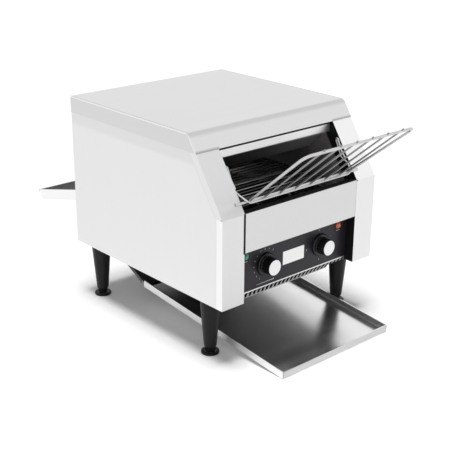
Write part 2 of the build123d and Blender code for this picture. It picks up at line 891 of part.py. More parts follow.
# bracket folded like a hat, its feet on the oven wall and its crown under the motor
foot_face = wall_x + sheet
crown_low = shaft_height - bracket_height / 2
crown_high = shaft_height + bracket_height / 2
with BuildPart() as motor_bracket:
    with BuildSketch(Plane.XZ.offset(-drive_y - bracket_width / 2)):
        with BuildLine():
            Polyline(
                (foot_face, crown_low - bracket_foot),
                (foot_face, crown_low + bracket_sheet),
                (motor_face - bracket_sheet, crown_low + bracket_sheet),
                (motor_face - bracket_sheet, crown_high - bracket_sheet),
                (foot_face, crown_high - bracket_sheet),
                (foot_face, crown_high + bracket_foot),
                (foot_face + bracket_sheet, crown_high + bracket_foot),
                (foot_face + bracket_sheet, crown_high),
                (motor_face, crown_high),
                (motor_face, crown_low),
                (foot_face + bracket_sheet, crown_low),
                (foot_face + bracket_sheet, crown_low - bracket_foot),
                close=True,
            )
        make_face()
    extrude(amount=bracket_width)
    with BuildSketch(at_x(motor_face - bracket_sheet, drive_y, shaft_height)):
        RegularPolygon(coupling_d / 2 + 2, 8)
    extrude(amount=bracket_sheet, mode=Mode.SUBTRACT)
motor_bracket.part.label = "motor_bracket"
export_step(motor_bracket.part, "parts/motor_bracket.step")

with BuildPart() as gear_motor:
    with BuildSketch(at_x(motor_face, drive_y, shaft_height)):
        Circle(motor_d / 2)
    extrude(amount=motor_length * 0.6)
    with BuildSketch(at_x(motor_face + motor_length * 0.6, drive_y, shaft_height)):
        Rectangle(motor_cover, motor_cover)
    extrude(amount=motor_length * 0.4)
    with BuildSketch(at_x(motor_face, drive_y, shaft_height)):
        Circle(motor_shaft_d / 2 + shaft_run_gap)
    extrude(amount=motor_length / 2 + 1, mode=Mode.SUBTRACT)
gear_motor.part.label = "gear_motor"
export_step(gear_motor.part, "parts/gear_motor.step")

# ---------------------------------------------------------------- return chute
def chute_under(y):
    """Height of the underside of the chute at a place along its run."""
    return chute_foot_height + (y - chute_foot_y) * tan(chute_tilt) - sheet / cos(chute_tilt)


with BuildPart() as return_chute:
    with BuildSketch(Plane.YZ.offset(-chute_half_width)):
        with BuildLine():
            Polyline(
                (chute_foot_y, chute_foot_height),
                (chute_head_y, chute_head_height),
                (chute_head_y, chute_head_height + chute_flange),
                (rear_face, chute_head_height + chute_flange),
                (rear_face, chute_under(rear_face)),
                (chute_foot_y + sheet * sin(chute_tilt), chute_foot_height - sheet * cos(chute_tilt)),
                close=True,
            )
        make_face()
    extrude(amount=2 * chute_half_width)
    # side edges turned down, from just behind the tray up to the pan
    hem_low = chute_foot_y + chute_hem_start
    hem_high = chute_foot_y + (pan_bottom - chute_foot_height) / tan(chute_tilt)
    for hem_x in (-chute_half_width, chute_half_width - sheet):
        with BuildSketch(Plane.YZ.offset(hem_x)):
            with BuildLine():
                Polyline(
                    (hem_low, chute_foot_height + chute_hem_start * tan(chute_tilt)),
                    (hem_high, pan_bottom),
                    (hem_high, pan_bottom - chute_hem),
                    (hem_low, chute_foot_height + chute_hem_start * tan(chute_tilt) - chute_hem),
                    close=True,
                )
            make_face()
        extrude(amount=sheet)
return_chute.part.label = "return_chute"
export_step(return_chute.part, "parts/return_chute.step")

# ---------------------------------------------------------------- front catch tray
tray_plane = Plane(
    origin=(0, tray_front_y, tray_front_clear),
    x_dir=(1, 0, 0),
    z_dir=(0, -sin(tray_tilt), cos(tray_tilt)),
)
with BuildPart() as catch_tray:
    with BuildSketch(tray_plane):
        with Locations((0, tray_length / 2)):
            Rectangle(2 * tray_half_width, tray_length)
    extrude(amount=tray_sheet)
    for wall_side in (-1, 1):
        with BuildSketch(tray_plane):
            with Locations((wall_side * (tray_half_width - tray_sheet / 2), tray_length / 2)):
                Rectangle(tray_sheet, tray_length)
        extrude(amount=tray_wall)
        with BuildSketch(tray_plane.offset(tray_wall - tray_hem)):
            with Locations((wall_side * (tray_half_width - 1.5 * tray_sheet), tray_length / 2)):
                Rectangle(tray_sheet, tray_length)
        extrude(amount=tray_hem)
    with BuildSketch(tray_plane):
        with Locations((0, tray_sheet / 2)):
            Rectangle(2 * tray_half_width, tray_sheet)
    extrude(amount=tray_wall)
    with BuildSketch(tray_plane.offset(tray_wall - tray_hem)):
        with Locations((0, 1.5 * tray_sheet)):
            Rectangle(2 * (tray_half_width - 2 * tray_sheet), tray_sheet)
    extrude(amount=tray_hem)
    # open seam between the front wall and each side wall
    with BuildSketch(tray_plane.offset(2 * tray_sheet)):
        for wall_side in (-1, 1):
            with Locations((wall_side * (tray_half_width - tray_sheet - tray_corner_seam / 2),
                            tray_sheet)):
                Rectangle(tray_corner_seam, 4 * tray_sheet)
    extrude(amount=tray_wall, mode=Mode.SUBTRACT)
catch_tray.part.label = "catch_tray"
export_step(catch_tray.part, "parts/catch_tray.step")

# ledge below the chute that carries the back edge of the tray
ledge_back = tray_back_y + 3
ledge_front = ledge_back - ledge_depth
ledge_top = tray_back_z - (tray_back_y - ledge_front) * tan(tray_tilt) - 0.3
with BuildPart() as tray_ledge:
    with BuildSketch(Plane.YZ.offset(-chute_half_width + 12)):
        with BuildLine():
            Polyline(
                (ledge_front, ledge_top),
                (ledge_back, tray_back_z - 0.3 + 3 * tan(tray_tilt)),
                (ledge_back, chute_under(ledge_back)),
                (ledge_back + sheet, chute_under(ledge_back + sheet)),
                (ledge_back + sheet, tray_back_z - 0.3 + 3 * tan(tray_tilt) - sheet),
                (ledge_front, ledge_top - sheet),
                close=True,
            )
        make_face()
    extrude(amount=2 * (chute_half_width - 12))
tray_ledge.part.label = "tray_ledge"
export_step(tray_ledge.part, "parts/tray_ledge.step")

# ---------------------------------------------------------------- rear tray
rear_start_y = back_y - rear_inside
rear_start_z = rear_sill_height + rear_inside * tan(rear_tilt)
rear_plane = Plane(
    origin=(0, rear_start_y, rear_start_z),
    x_dir=(1, 0, 0),
    z_dir=(0, sin(rear_tilt), cos(rear_tilt)),
)
with BuildPart() as rear_tray:
    with BuildSketch(rear_plane):
        with Locations((0, rear_length / 2)):
            Rectangle(2 * rear_half_width, rear_length)
    extrude(amount=rear_sheet)
    for wall_side in (-1, 1):
        with BuildSketch(rear_plane):
            with Locations((wall_side * (rear_half_width - rear_sheet / 2), rear_length / 2)):
                Rectangle(rear_sheet, rear_length)
        extrude(amount=rear_wall)
    with BuildSketch(rear_plane):
        with Locations((0, rear_length - rear_sheet / 2)):
            Rectangle(2 * rear_half_width, rear_sheet)
    extrude(amount=rear_wall)
    # lip turned out and down along the far end
    with BuildSketch(rear_plane.offset(rear_wall - rear_sheet)):
        with Locations((0, rear_length + rear_lip / 2)):
            Rectangle(2 * rear_half_width, rear_lip)
    extrude(amount=rear_sheet)
    with BuildSketch(rear_plane.offset(rear_wall - rear_lip_drop)):
        with Locations((0, rear_length + rear_lip - rear_sheet / 2)):
            Rectangle(2 * rear_half_width, rear_sheet)
    extrude(amount=rear_lip_drop)
rear_tray.part.label = "rear_tray"
export_step(rear_tray.part, "parts/rear_tray.step")

# angle runners on the oven walls
runner_length = (rear_face - rear_start_y) / cos(rear_tilt) - runner_height
with BuildPart() as rear_tray_runners:
    for wall_side in (-1, 1):
        with BuildSketch(rear_plane.offset(-runner_gap - sheet)):
            with Locations((wall_side * (wall_x - runner_width / 2), runner_length / 2)):
                Rectangle(runner_width, runner_length)
        extrude(amount=sheet)
        with BuildSketch(rear_plane.offset(-runner_gap - runner_height)):
            with Locations((wall_side * (wall_x - sheet / 2), runner_length / 2)):
                Rectangle(sheet, runner_length)
        extrude(amount=runner_height)
rear_tray_runners.part.label = "rear_tray_runners"
export_step(rear_tray_runners.part, "parts/rear_tray_runners.step")

# ---------------------------------------------------------------- feed rack
rack_plane = Plane(
    origin=(0, pivot_y, pivot_height),
    x_dir=(1, 0, 0),
    z_dir=(0, -sin(rack), -cos(rack)),
)
end_bar = rack_length - rack_tip
cross_lift = (pivot_d + cross_wire_d) / 2 - 0.4
pivot_centre = Vector(0, pivot_y, pivot_height)
guard_rise = Vector(0, cos(radians(guard_lean)), sin(radians(guard_lean)))
guard_front = Vector(0, -sin(radians(guard_lean)), cos(radians(guard_lean)))


def round_pivot(x, turn):
    """Point of a wire that lies against the pivot rod, turned down from straight ahead."""
    return pivot_centre + Vector(x, -cross_lift * cos(radians(turn)), -cross_lift * sin(radians(turn)))


with BuildPart() as feed_rack:
    # pivot rod
    with BuildSketch(at_x(-pivot_half_length, pivot_y, pivot_height)):
        RegularPolygon(pivot_d / 2, 12)
    extrude(amount=2 * pivot_half_length)
    # outer frame, bent from one thick wire
    with BuildLine(rack_plane) as frame_path:
        FilletPolyline(
            (-rack_foot_half, 0),
            (-rack_end_half, end_bar),
            (rack_end_half, end_bar),
            (rack_foot_half, 0),
            radius=rack_corner_radius,
        )
    with BuildSketch(Plane(origin=frame_path.line @ 0, z_dir=frame_path.line % 0)):
        RegularPolygon(rack_frame_d / 2, 12)
    sweep(path=frame_path.line)
    # thin wires on the upper side of the end bar and on the pivot rod, a little fanned
    for k in range(rack_wire_count):
        place = k - (rack_wire_count - 1) / 2
        start = rack_plane.from_local_coords(Vector(place * rack_wire_pitch, 0, -wire_lift))
        tip = rack_plane.from_local_coords(Vector(place * rack_tip_pitch, rack_length, -wire_lift))
        with BuildSketch(Plane(origin=start, z_dir=tip - start)):
            RegularPolygon(rack_wire_d / 2, 8)
        extrude(amount=(tip - start).length)
    # cross wire, bent over the pivot rod at both ends and up into a narrow side guard
    for side in (-1, 1):
        outside = pivot_centre + Vector(side * guard_half, 0, 0)
        arm = outside + Vector(0, guard_arm_back, guard_arm_rise)
        knee = outside + Vector(0, guard_knee_back, guard_knee_rise)
        top = knee + guard_rise * guard_upright
        with BuildLine() as guard_path:
            Polyline(
                round_pivot(0, cross_wire_turn),
                round_pivot(side * (guard_half - 2 * guard_bend), cross_wire_turn),
                round_pivot(side * (guard_half - 1.4 * guard_bend), 5),
                round_pivot(side * (guard_half - guard_bend), -35),
                arm,
                knee,
                top - guard_rise * guard_width / 3,
                top + guard_front * guard_width / 3,
                top + guard_front * guard_width * 2 / 3,
                top - guard_rise * guard_width / 3 + guard_front * guard_width,
                knee + guard_rise * guard_upright * 0.36 + guard_front * guard_width,
                arm + (knee - arm) * 0.4 + Vector(0, 0, 1.15 * cross_wire_d),
            )
        with BuildSketch(Plane(origin=guard_path.line @ 0, z_dir=guard_path.line % 0)):
            RegularPolygon(cross_wire_d / 2, 6)
        sweep(path=guard_path.line, transition=Transition.RIGHT)
    # welded tabs under the pivot rod
    for side in (-1, 1):
        with BuildSketch(rack_plane.offset(pivot_d / 2 - rack_tab_sheet / 2)):
            with Locations((side * rack_tab_at, 0)):
                Rectangle(rack_tab_length, rack_tab_width)
        extrude(amount=rack_tab_sheet)
feed_rack.part.label = "feed_rack"
export_step(feed_rack.part, "parts/feed_rack.step")


# ---------------------------------------------------------------- knobs and what they turn
def knob_body(x):
    """Black knob with a wide skirt, hollow underneath and bored for its spindle."""
    with BuildPart() as knob:
        with BuildSketch(Plane.XZ.offset(-panel_y + knob_gap)):
            with Locations((x, knob_height)):
                Circle(skirt_d / 2)
        extrude(amount=skirt_thickness, taper=18)
        with BuildSketch(Plane.XZ.offset(-panel_y + knob_gap + skirt_thickness)):
            with Locations((x, knob_height)):
                Circle(knob_d / 2)
        body_length = knob_depth - knob_gap - skirt_thickness - cap_thickness
        extrude(amount=body_length, taper=degrees(atan2((knob_d - knob_front_d) / 2, body_length)))
        with BuildSketch(Plane.XZ.offset(-panel_y + knob_gap)):
            with Locations((x, knob_height)):
                RegularPolygon(knob_recess_d / 2, 8)
        extrude(amount=knob_recess_depth, mode=Mode.SUBTRACT)
        with BuildSketch(Plane.XZ.offset(-panel_y + knob_gap)):
            with Locations((x, knob_height)):
                RegularPolygon(spindle_d / 2, 12)
        extrude(amount=knob_depth - 6, mode=Mode.SUBTRACT)
    return knob.part


def knob_cap(x):
    """Brushed disc on the front of a knob."""
    with BuildPart() as cap:
        with BuildSketch(Plane.XZ.offset(-panel_y + knob_depth - cap_thickness)):
            with Locations((x, knob_height)):
                Circle(cap_d / 2)
        extrude(amount=cap_thickness)
    return cap.part


def spindle(x):
    """Spindle from inside the knob back into the control behind the panel."""
    with BuildPart() as rod:
        with BuildSketch(Plane.XZ.offset(-panel_y + knob_gap + knob_depth - 6)):
            with Locations((x, knob_height)):
                RegularPolygon(spindle_d / 2, 12)
        extrude(amount=-spindle_length)
    return rod.part


for knob_name, knob_x in (("speed", -knob_spacing / 2), ("heat", knob_spacing / 2)):
    pieces = (("knob", knob_body(knob_x)), ("knob_cap", knob_cap(knob_x)), ("spindle", spindle(knob_x)))
    for piece_name, piece in pieces:
        piece.label = knob_name + "_" + piece_name
        export_step(piece, "parts/" + piece.label + ".step")

spindle_end = panel_y - knob_gap - knob_depth + 6 + spindle_length
with BuildPart() as speed_controller:
    with BuildSketch(Plane.XZ.offset(-panel_y - panel_sheet)):
        with Locations((-knob_spacing / 2, knob_height)):
            RegularPolygon(controller_d / 2, 8)
    extrude(amount=-controller_length)
    with BuildSketch(Plane.XZ.offset(-panel_y - panel_sheet)):
        with Locations((-knob_spacing / 2, knob_height)):
            RegularPolygon(bushing_d / 2, 8)
    extrude(amount=panel_sheet + bushing_out)
    with BuildSketch(Plane.XZ.offset(-panel_y + bushing_out)):
        with Locations((-knob_spacing / 2, knob_height)):
            Circle(spindle_d / 2 + spindle_gap)
    extrude(amount=-(spindle_end - panel_y + bushing_out + 1), mode=Mode.SUBTRACT)
speed_controller.part.label = "speed_controller"
export_step(speed_controller.part, "parts/speed_controller.step")

with BuildPart() as heat_switch:
    with BuildSketch(Plane.XZ.offset(-panel_y - panel_sheet)):
        with Locations((knob_spacing / 2, knob_height)):
            Rectangle(switch_side, switch_side)
    extrude(amount=-switch_length)
    with BuildSketch(Plane.XZ.offset(-panel_y - panel_sheet)):
        with Locations((knob_spacing / 2, knob_height)):
            RegularPolygon(bushing_d / 2, 8)
    extrude(amount=panel_sheet + bushing_out)
    with BuildSketch(Plane.XZ.offset(-panel_y + bushing_out)):
        with Locations((knob_spacing / 2, knob_height)):
            Circle(spindle_d / 2 + spindle_gap)
    extrude(amount=-(spindle_end - panel_y + bushing_out + 1), mode=Mode.SUBTRACT)
heat_switch.part.label = "heat_switch"
export_step(heat_switch.part, "parts/heat_switch.step")


# ---------------------------------------------------------------- signal lamps
def lamp(x):
    """Round signal lamp: lens, bezel and body through the panel."""
    with BuildPart() as light:
        with BuildSketch(Plane.XZ.offset(-panel_y)):
            with Locations((x, lamp_height)):
                RegularPolygon(lamp_bezel_d / 2, 16)
        extrude(amount=lamp_bezel_height)
        with BuildSketch(Plane.XZ.offset(-panel_y + lamp_bezel_height)):
            with Locations((x, lamp_height)):
                Circle(lamp_lens_d / 2)
        extrude(amount=lamp_lens_height)
        with BuildSketch(Plane.XZ.offset(-panel_y)):
            with Locations((x, lamp_height)):
                RegularPolygon(lamp_body_d / 2, 8)
        extrude(amount=-lamp_body_length)
    return light.part


green_lamp = lamp(-lamp_spacing / 2)
green_lamp.label = "green_lamp"
export_step(green_lamp, "parts/green_lamp.step")
orange_lamp = lamp(lamp_spacing / 2)
orange_lamp.label = "orange_lamp"
export_step(orange_lamp, "parts/orange_lamp.step")

# ---------------------------------------------------------------- legs
leg_places = {
    "front_left": (-leg_spacing / 2, front_y + leg_front_setback),
    "front_right": (leg_spacing / 2, front_y + leg_front_setback),
    "back_left": (-leg_spacing / 2, back_y - leg_back_inset),
    "back_right": (leg_spacing / 2, back_y - leg_back_inset),
}
ankle_rise = leg_ankle_height - leg_neck_height
shin_rise = casing_bottom - leg_collar - leg_ankle_height
with BuildPart() as one_leg:
    # collar, long taper and neck, all with the same number of sides
    with BuildSketch(Plane.XY.offset(casing_bottom)):
        RegularPolygon(leg_collar_d / 2, leg_sides)
    extrude(amount=-leg_collar)
    with BuildSketch(Plane.XY.offset(leg_ankle_height)):
        RegularPolygon(leg_ankle_d / 2, leg_sides)
    with BuildSketch(Plane.XY.offset(leg_ankle_height + shin_rise)):
        RegularPolygon(leg_top_d / 2, leg_sides)
    loft(ruled=True)
    with BuildSketch(Plane.XY.offset(leg_neck_height)):
        RegularPolygon(leg_neck_d / 2, leg_sides)
    with BuildSketch(Plane.XY.offset(leg_neck_height + ankle_rise)):
        RegularPolygon(leg_ankle_d / 2, leg_sides)
    loft(ruled=True)
    with BuildSketch(Plane.XY.offset(leg_neck_height)):
        RegularPolygon(stud_d / 2 + stud_gap, 12)
    extrude(amount=stud_length, mode=Mode.SUBTRACT)
with BuildPart() as legs:
    with Locations(*leg_places.values()):
        add(one_leg.part)
legs.part.label = "legs"
export_step(legs.part, "parts/legs.step")

for foot_name, foot_place in leg_places.items():
    with BuildPart() as foot:
        with BuildSketch(Plane.XY):
            with Locations(foot_place):
                RegularPolygon(foot_d / 2, leg_sides)
        extrude(amount=foot_height)
        with BuildSketch(Plane.XY.offset(foot_height)):
            with Locations(foot_place):
                RegularPolygon(foot_nut_across / 2, 6, major_radius=False)
        extrude(amount=leg_neck_height - foot_gap - foot_height)
        with BuildSketch(Plane.XY.offset(leg_neck_height - foot_gap)):
            with Locations(foot_place):
                RegularPolygon(stud_d / 2, 12)
        extrude(amount=stud_length - 1)
    foot.part.label = "foot_" + foot_name
    export_step(foot.part, "parts/" + foot.part.label + ".step")

# ---------------------------------------------------------------- supply side
with BuildPart() as cord_gland:
    with BuildSketch(Plane.XZ.offset(-back_y)):
        with Locations((gland_offset, gland_height)):
            RegularPolygon(gland_d / 2 + 2.5, 6)
    extrude(amount=-gland_length)
    with BuildSketch(Plane.XZ.offset(-back_y)):
        with Locations((gland_offset, gland_height)):
            RegularPolygon(gland_d / 2, 8)
    extrude(amount=gland_length)
    with BuildSketch(Plane.XZ.offset(-back_y - gland_length)):
        with Locations((gland_offset, gland_height)):
            RegularPolygon(gland_d / 4, 8)
    extrude(amount=2 * gland_length, mode=Mode.SUBTRACT)
cord_gland.part.label = "cord_gland"
export_step(cord_gland.part, "parts/cord_gland.step")

with BuildPart() as terminal_block:
    with BuildSketch(Plane.XY.offset(pan_top)):
        with Locations((gland_offset, rear_face - terminal_setback)):
            Rectangle(terminal_width, terminal_length)
    extrude(amount=terminal_height)
    with BuildSketch(Plane.XY.offset(pan_top + terminal_height)):
        with Locations((gland_offset, rear_face - terminal_setback)):
            with GridLocations(1, terminal_length / 4, 1, 3):
                Rectangle(terminal_width + 2, 1.4)
    extrude(amount=-terminal_height * 0.4, mode=Mode.SUBTRACT)
terminal_block.part.label = "terminal_block"
export_step(terminal_block.part, "parts/terminal_block.step")
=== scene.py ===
"""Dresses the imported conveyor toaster: folded sheet, wirework, belt, controls, legs and
their finishes, with a plain pale stage. Laid out as an add-on and run as a script."""

import json
from math import atan2, cos, pi, radians, sin, tan

import bmesh
import bpy
from bpy.props import FloatProperty, FloatVectorProperty, PointerProperty
from mathutils import Matrix, Vector


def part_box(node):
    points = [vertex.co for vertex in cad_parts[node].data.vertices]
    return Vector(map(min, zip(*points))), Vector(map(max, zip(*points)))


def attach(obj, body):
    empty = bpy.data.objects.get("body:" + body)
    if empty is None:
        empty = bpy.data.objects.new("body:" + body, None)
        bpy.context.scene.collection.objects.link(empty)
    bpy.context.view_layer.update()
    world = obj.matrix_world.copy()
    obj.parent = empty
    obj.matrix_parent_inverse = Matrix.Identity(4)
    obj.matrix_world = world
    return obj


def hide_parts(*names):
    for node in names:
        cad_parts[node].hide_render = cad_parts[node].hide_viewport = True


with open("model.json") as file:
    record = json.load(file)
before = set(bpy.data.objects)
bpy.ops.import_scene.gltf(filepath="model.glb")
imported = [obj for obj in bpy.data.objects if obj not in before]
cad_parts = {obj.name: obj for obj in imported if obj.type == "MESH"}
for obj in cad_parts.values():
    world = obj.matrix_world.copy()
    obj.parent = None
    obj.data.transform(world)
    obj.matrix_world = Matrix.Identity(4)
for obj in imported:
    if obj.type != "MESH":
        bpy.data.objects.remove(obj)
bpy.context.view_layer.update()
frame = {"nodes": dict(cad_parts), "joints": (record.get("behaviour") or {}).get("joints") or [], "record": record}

bl_info = {
    "name": "Conveyor Toaster",
    "version": (1, 0, 0),
    "blender": (4, 5, 0),
    "location": "3D View > Sidebar > Toaster",
    "description": "Finishes and fine pieces of a counter-top conveyor toaster",
    "category": "Object",
}

MM = 0.001
BODY_OF = {node: body for body, nodes in frame["record"]["behaviour"]["bodies"].items()
           for node in nodes}
LOW = {node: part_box(node)[0] for node in frame["nodes"]}
HIGH = {node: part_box(node)[1] for node in frame["nodes"]}
AXIS = {joint["name"]: Vector(joint["pos_m"]) for joint in frame["joints"] if "pos_m" in joint}
MIDDLE = {node: (LOW[node] + HIGH[node]) / 2 for node in frame["nodes"]}
RIGHT, OUT, UP = Vector((1, 0, 0)), Vector((0, -1, 0)), Vector((0, 0, 1))

# the casing: its front, its panel, half its front opening, the bend below its slope
FRONT = LOW["left_side_panel"].y
PANEL = LOW["control_panel"].y
HALF_OPEN = HIGH["control_panel"].x
SLOPE = radians(56.0)
BEND = HIGH["front_fascia"].z - 0.001

# leaning slots of the strip and of the lip in front of it
SLOT_PITCH = 10.0 * MM
SLOT_LEAN = tan(radians(43.0))

# wire belt
BELT_PITCH = 12.7 * MM
BELT_TEETH = 12
BELT_SPAN = 24
HOOK_INSET = 7.0 * MM
HOOK_SHIFT = 2.4 * MM

# feed rack
RACK_SLOPE = radians(39.0)
RACK_REACH = 174.8 * MM
RACK_TIP = 4.8 * MM
RACK_FOOT_HALF = 118.5 * MM
RACK_END_HALF = 129.0 * MM
RACK_WIRES = 6
GUARD_LEAN = radians(64.5)
GUARD_WIDTH = 4.6 * MM

KNOB_DEPTH = 22.6 * MM
KNOB_GAP = 0.4 * MM
PRINT_THICKNESS = 0.05 * MM
BLACK = (0.006,) * 3


def in_mm(*points):
    """A profile of (radius, height), and a share that stays as it is, from millimetres."""
    return [(radius * MM, height * MM, *share) for radius, height, *share in points]


KNOB_SKIRT = in_mm((3.4, 4), (8.5, 4), (8.5, 0), (20.5, 0), (21, 0.5), (20.95, 1.4), (20.5, 2.6),
                   (19.8, 3.9), (19, 4.5), (17.2, 4.6), (15.8, 4.7))
KNOB_GRIP = in_mm((15.8, 0, 0), (15.5, 0.6, 0), (15.4, 1.4, 1), (14.9, 15.1, 1), (14.7, 15.9, 0.5),
                  (14.5, 16.7, 0), (14.15, 17, 0), (13.8, 16.8, 0), (0, 16.6, 0))
KNOB_CAP = in_mm((0, -1), (13, -1), (13.65, -0.4), (13.65, -0.1), (13.4, 0), (12.7, 0),
                 (12.5, -0.12), (0, -0.12))
LAMP_LENS = in_mm((4.4, -17.8), (4.4, 0), (5.8, 0), (6, 0.3), (6, 0.9), (5.7, 1.2), (5, 1.3),
                  (4.8, 2), (4.4, 2.9), (3.6, 3.5), (2.2, 3.75), (0, 3.8))
LAMP_RING = in_mm((6.1, -0.2), (6.1, 1), (6.4, 1.3), (8.6, 1.2), (9.1, 0.7), (9.1, -0.2),
                  (6.1, -0.2))
LEG = in_mm((4.05, 34), (4.05, 9.2), (8, 9), (8.5, 9.5), (10.7, 13.6), (11, 14.6), (11.35, 17),
            (17.8, 99), (18, 101.2), (18.6, 101.8), (19.7, 102.1), (19.9, 102.4), (19.9, 104.2),
            (19.7, 104.6), (0, 104.6))
FOOT_DISC = in_mm((0, 0), (15, 0), (15.7, 0.3), (15.9, 1), (15.9, 3), (15.6, 4), (14.6, 4.5),
                  (12, 4.6), (10.8, 4.6))
FOOT_NUT = in_mm((11.1, 4.6), (8, 4.6), (8, 4.6), (8, 8.3), (7.6, 8.7), (3.9, 8.7))
THREAD = in_mm(*(point for turn in range(19)
                 for point in ((3.9, 8.7 + 1.3 * turn), (3.6, 9.35 + 1.3 * turn))))
FOOT_STUD = in_mm((3.9, 8)) + THREAD + in_mm((3.4, 33.6), (0, 33.7))


# ---------------------------------------------------------------- shader maths
class Term:
    """A value in a finish. Arithmetic on it adds Math nodes."""

    def __init__(self, finish, socket):
        self.finish = finish
        self.socket = socket

    def _with(self, operation, first, second):
        return self.finish.math(operation, first, second)

    def __add__(self, other):
        return self._with("ADD", self, other)

    def __radd__(self, other):
        return self._with("ADD", other, self)

    def __sub__(self, other):
        return self._with("SUBTRACT", self, other)

    def __rsub__(self, other):
        return self._with("SUBTRACT", other, self)

    def __mul__(self, other):
        return self._with("MULTIPLY", self, other)

    def __rmul__(self, other):
        return self._with("MULTIPLY", other, self)


class Nodes:
    """A node tree; node() adds every node that isn't arithmetic."""

    def __init__(self, tree):
        self.tree = tree
        tree.nodes.clear()

    def put(self, node, key, value):
        """Sets or links one input."""
        socket = node.inputs[key]
        if isinstance(value, Term):
            self.tree.links.new(value.socket, socket)
        elif socket.type == "RGBA" and len(value) == 3:
            socket.default_value = (*value, 1.0)
        else:
            socket.default_value = value

    def node(self, kind, settings=None, values=None, out=0):
        """Adds a shader node: its settings first, then the values or links of its inputs."""
        node = self.tree.nodes.new("ShaderNode" + kind)
        for key, value in (settings or {}).items():
            setattr(node, key, value)
        for key, value in (values or {}).items():
            self.put(node, key, value)
        return Term(self, node.outputs[out])

    def math(self, operation, *values, kind="Math", out=0):
        return self.node(kind, {"operation": operation}, dict(enumerate(values)), out)

    def ray(self, kind):
        """1 for one kind of ray and 0 for the others."""
        return self.node("LightPath", out="Is " + kind + " Ray")


class Finish(Nodes):
    """A material with one Principled shader."""

    def __init__(self, name, colour, roughness=0.5, metallic=0.0, **constants):
        self.material = bpy.data.materials.new(name)
        self.material.use_nodes = True
        super().__init__(self.material.node_tree)
        output = self.tree.nodes.new("ShaderNodeOutputMaterial")
        self.shader = self.tree.nodes.new("ShaderNodeBsdfPrincipled")
        self.tree.links.new(self.shader.outputs[0], output.inputs["Surface"])
        self.give("Base Color", colour)
        self.give("Roughness", roughness)
        self.give("Metallic", metallic)
        for key, value in constants.items():
            self.give(key.replace("_", " "), value)

    def give(self, key, value):
        """Sets or links one input of the shader."""
        self.put(self.shader, key, value)

    def where(self):
        """Coordinates on the piece, in metres."""
        return self.node("TexCoord", out="Object")

    def noise(self, scale, detail=2.0, roughness=0.5, stretch=(1.0,) * 3):
        """Noise over the piece, its coordinates in metres scaled by stretch."""
        where = self.node("Mapping", {"vector_type": "POINT"},
                          {"Vector": self.where(), "Scale": stretch})
        return self.node("TexNoise", {"noise_dimensions": "3D"},
                         {"Vector": where, "Scale": scale, "Detail": detail,
                          "Roughness": roughness})

    def mix(self, factor, first, second):
        """Colour between two colours."""
        return self.node("Mix", {"data_type": "RGBA"}, {0: factor, 6: first, 7: second}, 2)

    def along(self, axis):
        """One coordinate of a point on the piece, in metres."""
        return self.node("SeparateXYZ", None, {0: self.where()}, axis)

    def beyond(self, value, start, end):
        """0 up to start, 1 from end on, smooth between them."""
        return self.node("MapRange", {"interpolation_type": "SMOOTHSTEP"},
                         {"Value": value, "From Min": start, "From Max": end})

    def below(self, value, start, end):
        """1 up to start, 0 from end on, smooth between them."""
        return 1 - self.beyond(value, start, end)

    def paint(self, tone):
        """Gives the base colour, and keeps it for the tints that follow."""
        self.tone = tone
        self.give("Base Color", tone)

    def tint(self, mask, colour):
        """Lays a colour over the present one where the mask is 1."""
        self.paint(self.mix(mask, self.tone, colour))

    def shade(self, colour, *areas):
        """Lays shares of a colour over the present one, mask by mask."""
        for mask, share in areas:
            self.tint(mask, shaded(colour, share))

    def bump(self, height, strength, distance=0.0002):
        self.give("Normal", self.node("Bump", None, {"Strength": strength, "Distance": distance,
                                                     "Height": height}))


# ---------------------------------------------------------------- mesh helpers
def frame_axes(direction):
    """Two unit vectors square to a direction."""
    direction = direction.normalized()
    helper = Vector((1, 0, 0)) if abs(direction.x) < 0.9 else Vector((0, 0, 1))
    across = direction.cross(helper).normalized()
    return across, direction.cross(across).normalized()


def rounded(points, radius, steps):
    """Corner points of a wire replaced by arcs of a bend radius."""
    path = [points[0]]
    for before, corner, after in zip(points, points[1:], points[2:]):
        into = (before - corner).normalized()
        away = (after - corner).normalized()
        angle = into.angle(away)
        if angle > pi - 0.02:
            path.append(corner)
            continue
        room = 0.49 * min((before - corner).length, (after - corner).length)
        reach = min(radius / tan(angle / 2), room)
        bend = reach * tan(angle / 2)
        centre = corner + (into + away).normalized() * (bend / sin(angle / 2))
        first = corner + into * reach - centre
        last = corner + away * reach - centre
        sweep = first.angle(last)
        for step in range(steps + 1):
            share = step / steps
            path.append(centre + (first * sin((1 - share) * sweep)
                                  + last * sin(share * sweep)) / sin(sweep))
    path.append(points[-1])
    return path


def skin(bm, rings, capped=False):
    """Faces between following rings; a ring of one vertex closes to a point."""
    for low, high in zip(rings, rings[1:]):
        count = max(len(low), len(high))
        for k in range(count):
            after = (k + 1) % count
            if len(low) == 1:
                bm.faces.new((low[0], high[after], high[k]))
            elif len(high) == 1:
                bm.faces.new((low[k], low[after], high[0]))
            else:
                bm.faces.new((low[k], low[after], high[after], high[k]))
    if capped:
        bm.faces.new(rings[0][::-1])
        bm.faces.new(rings[-1])


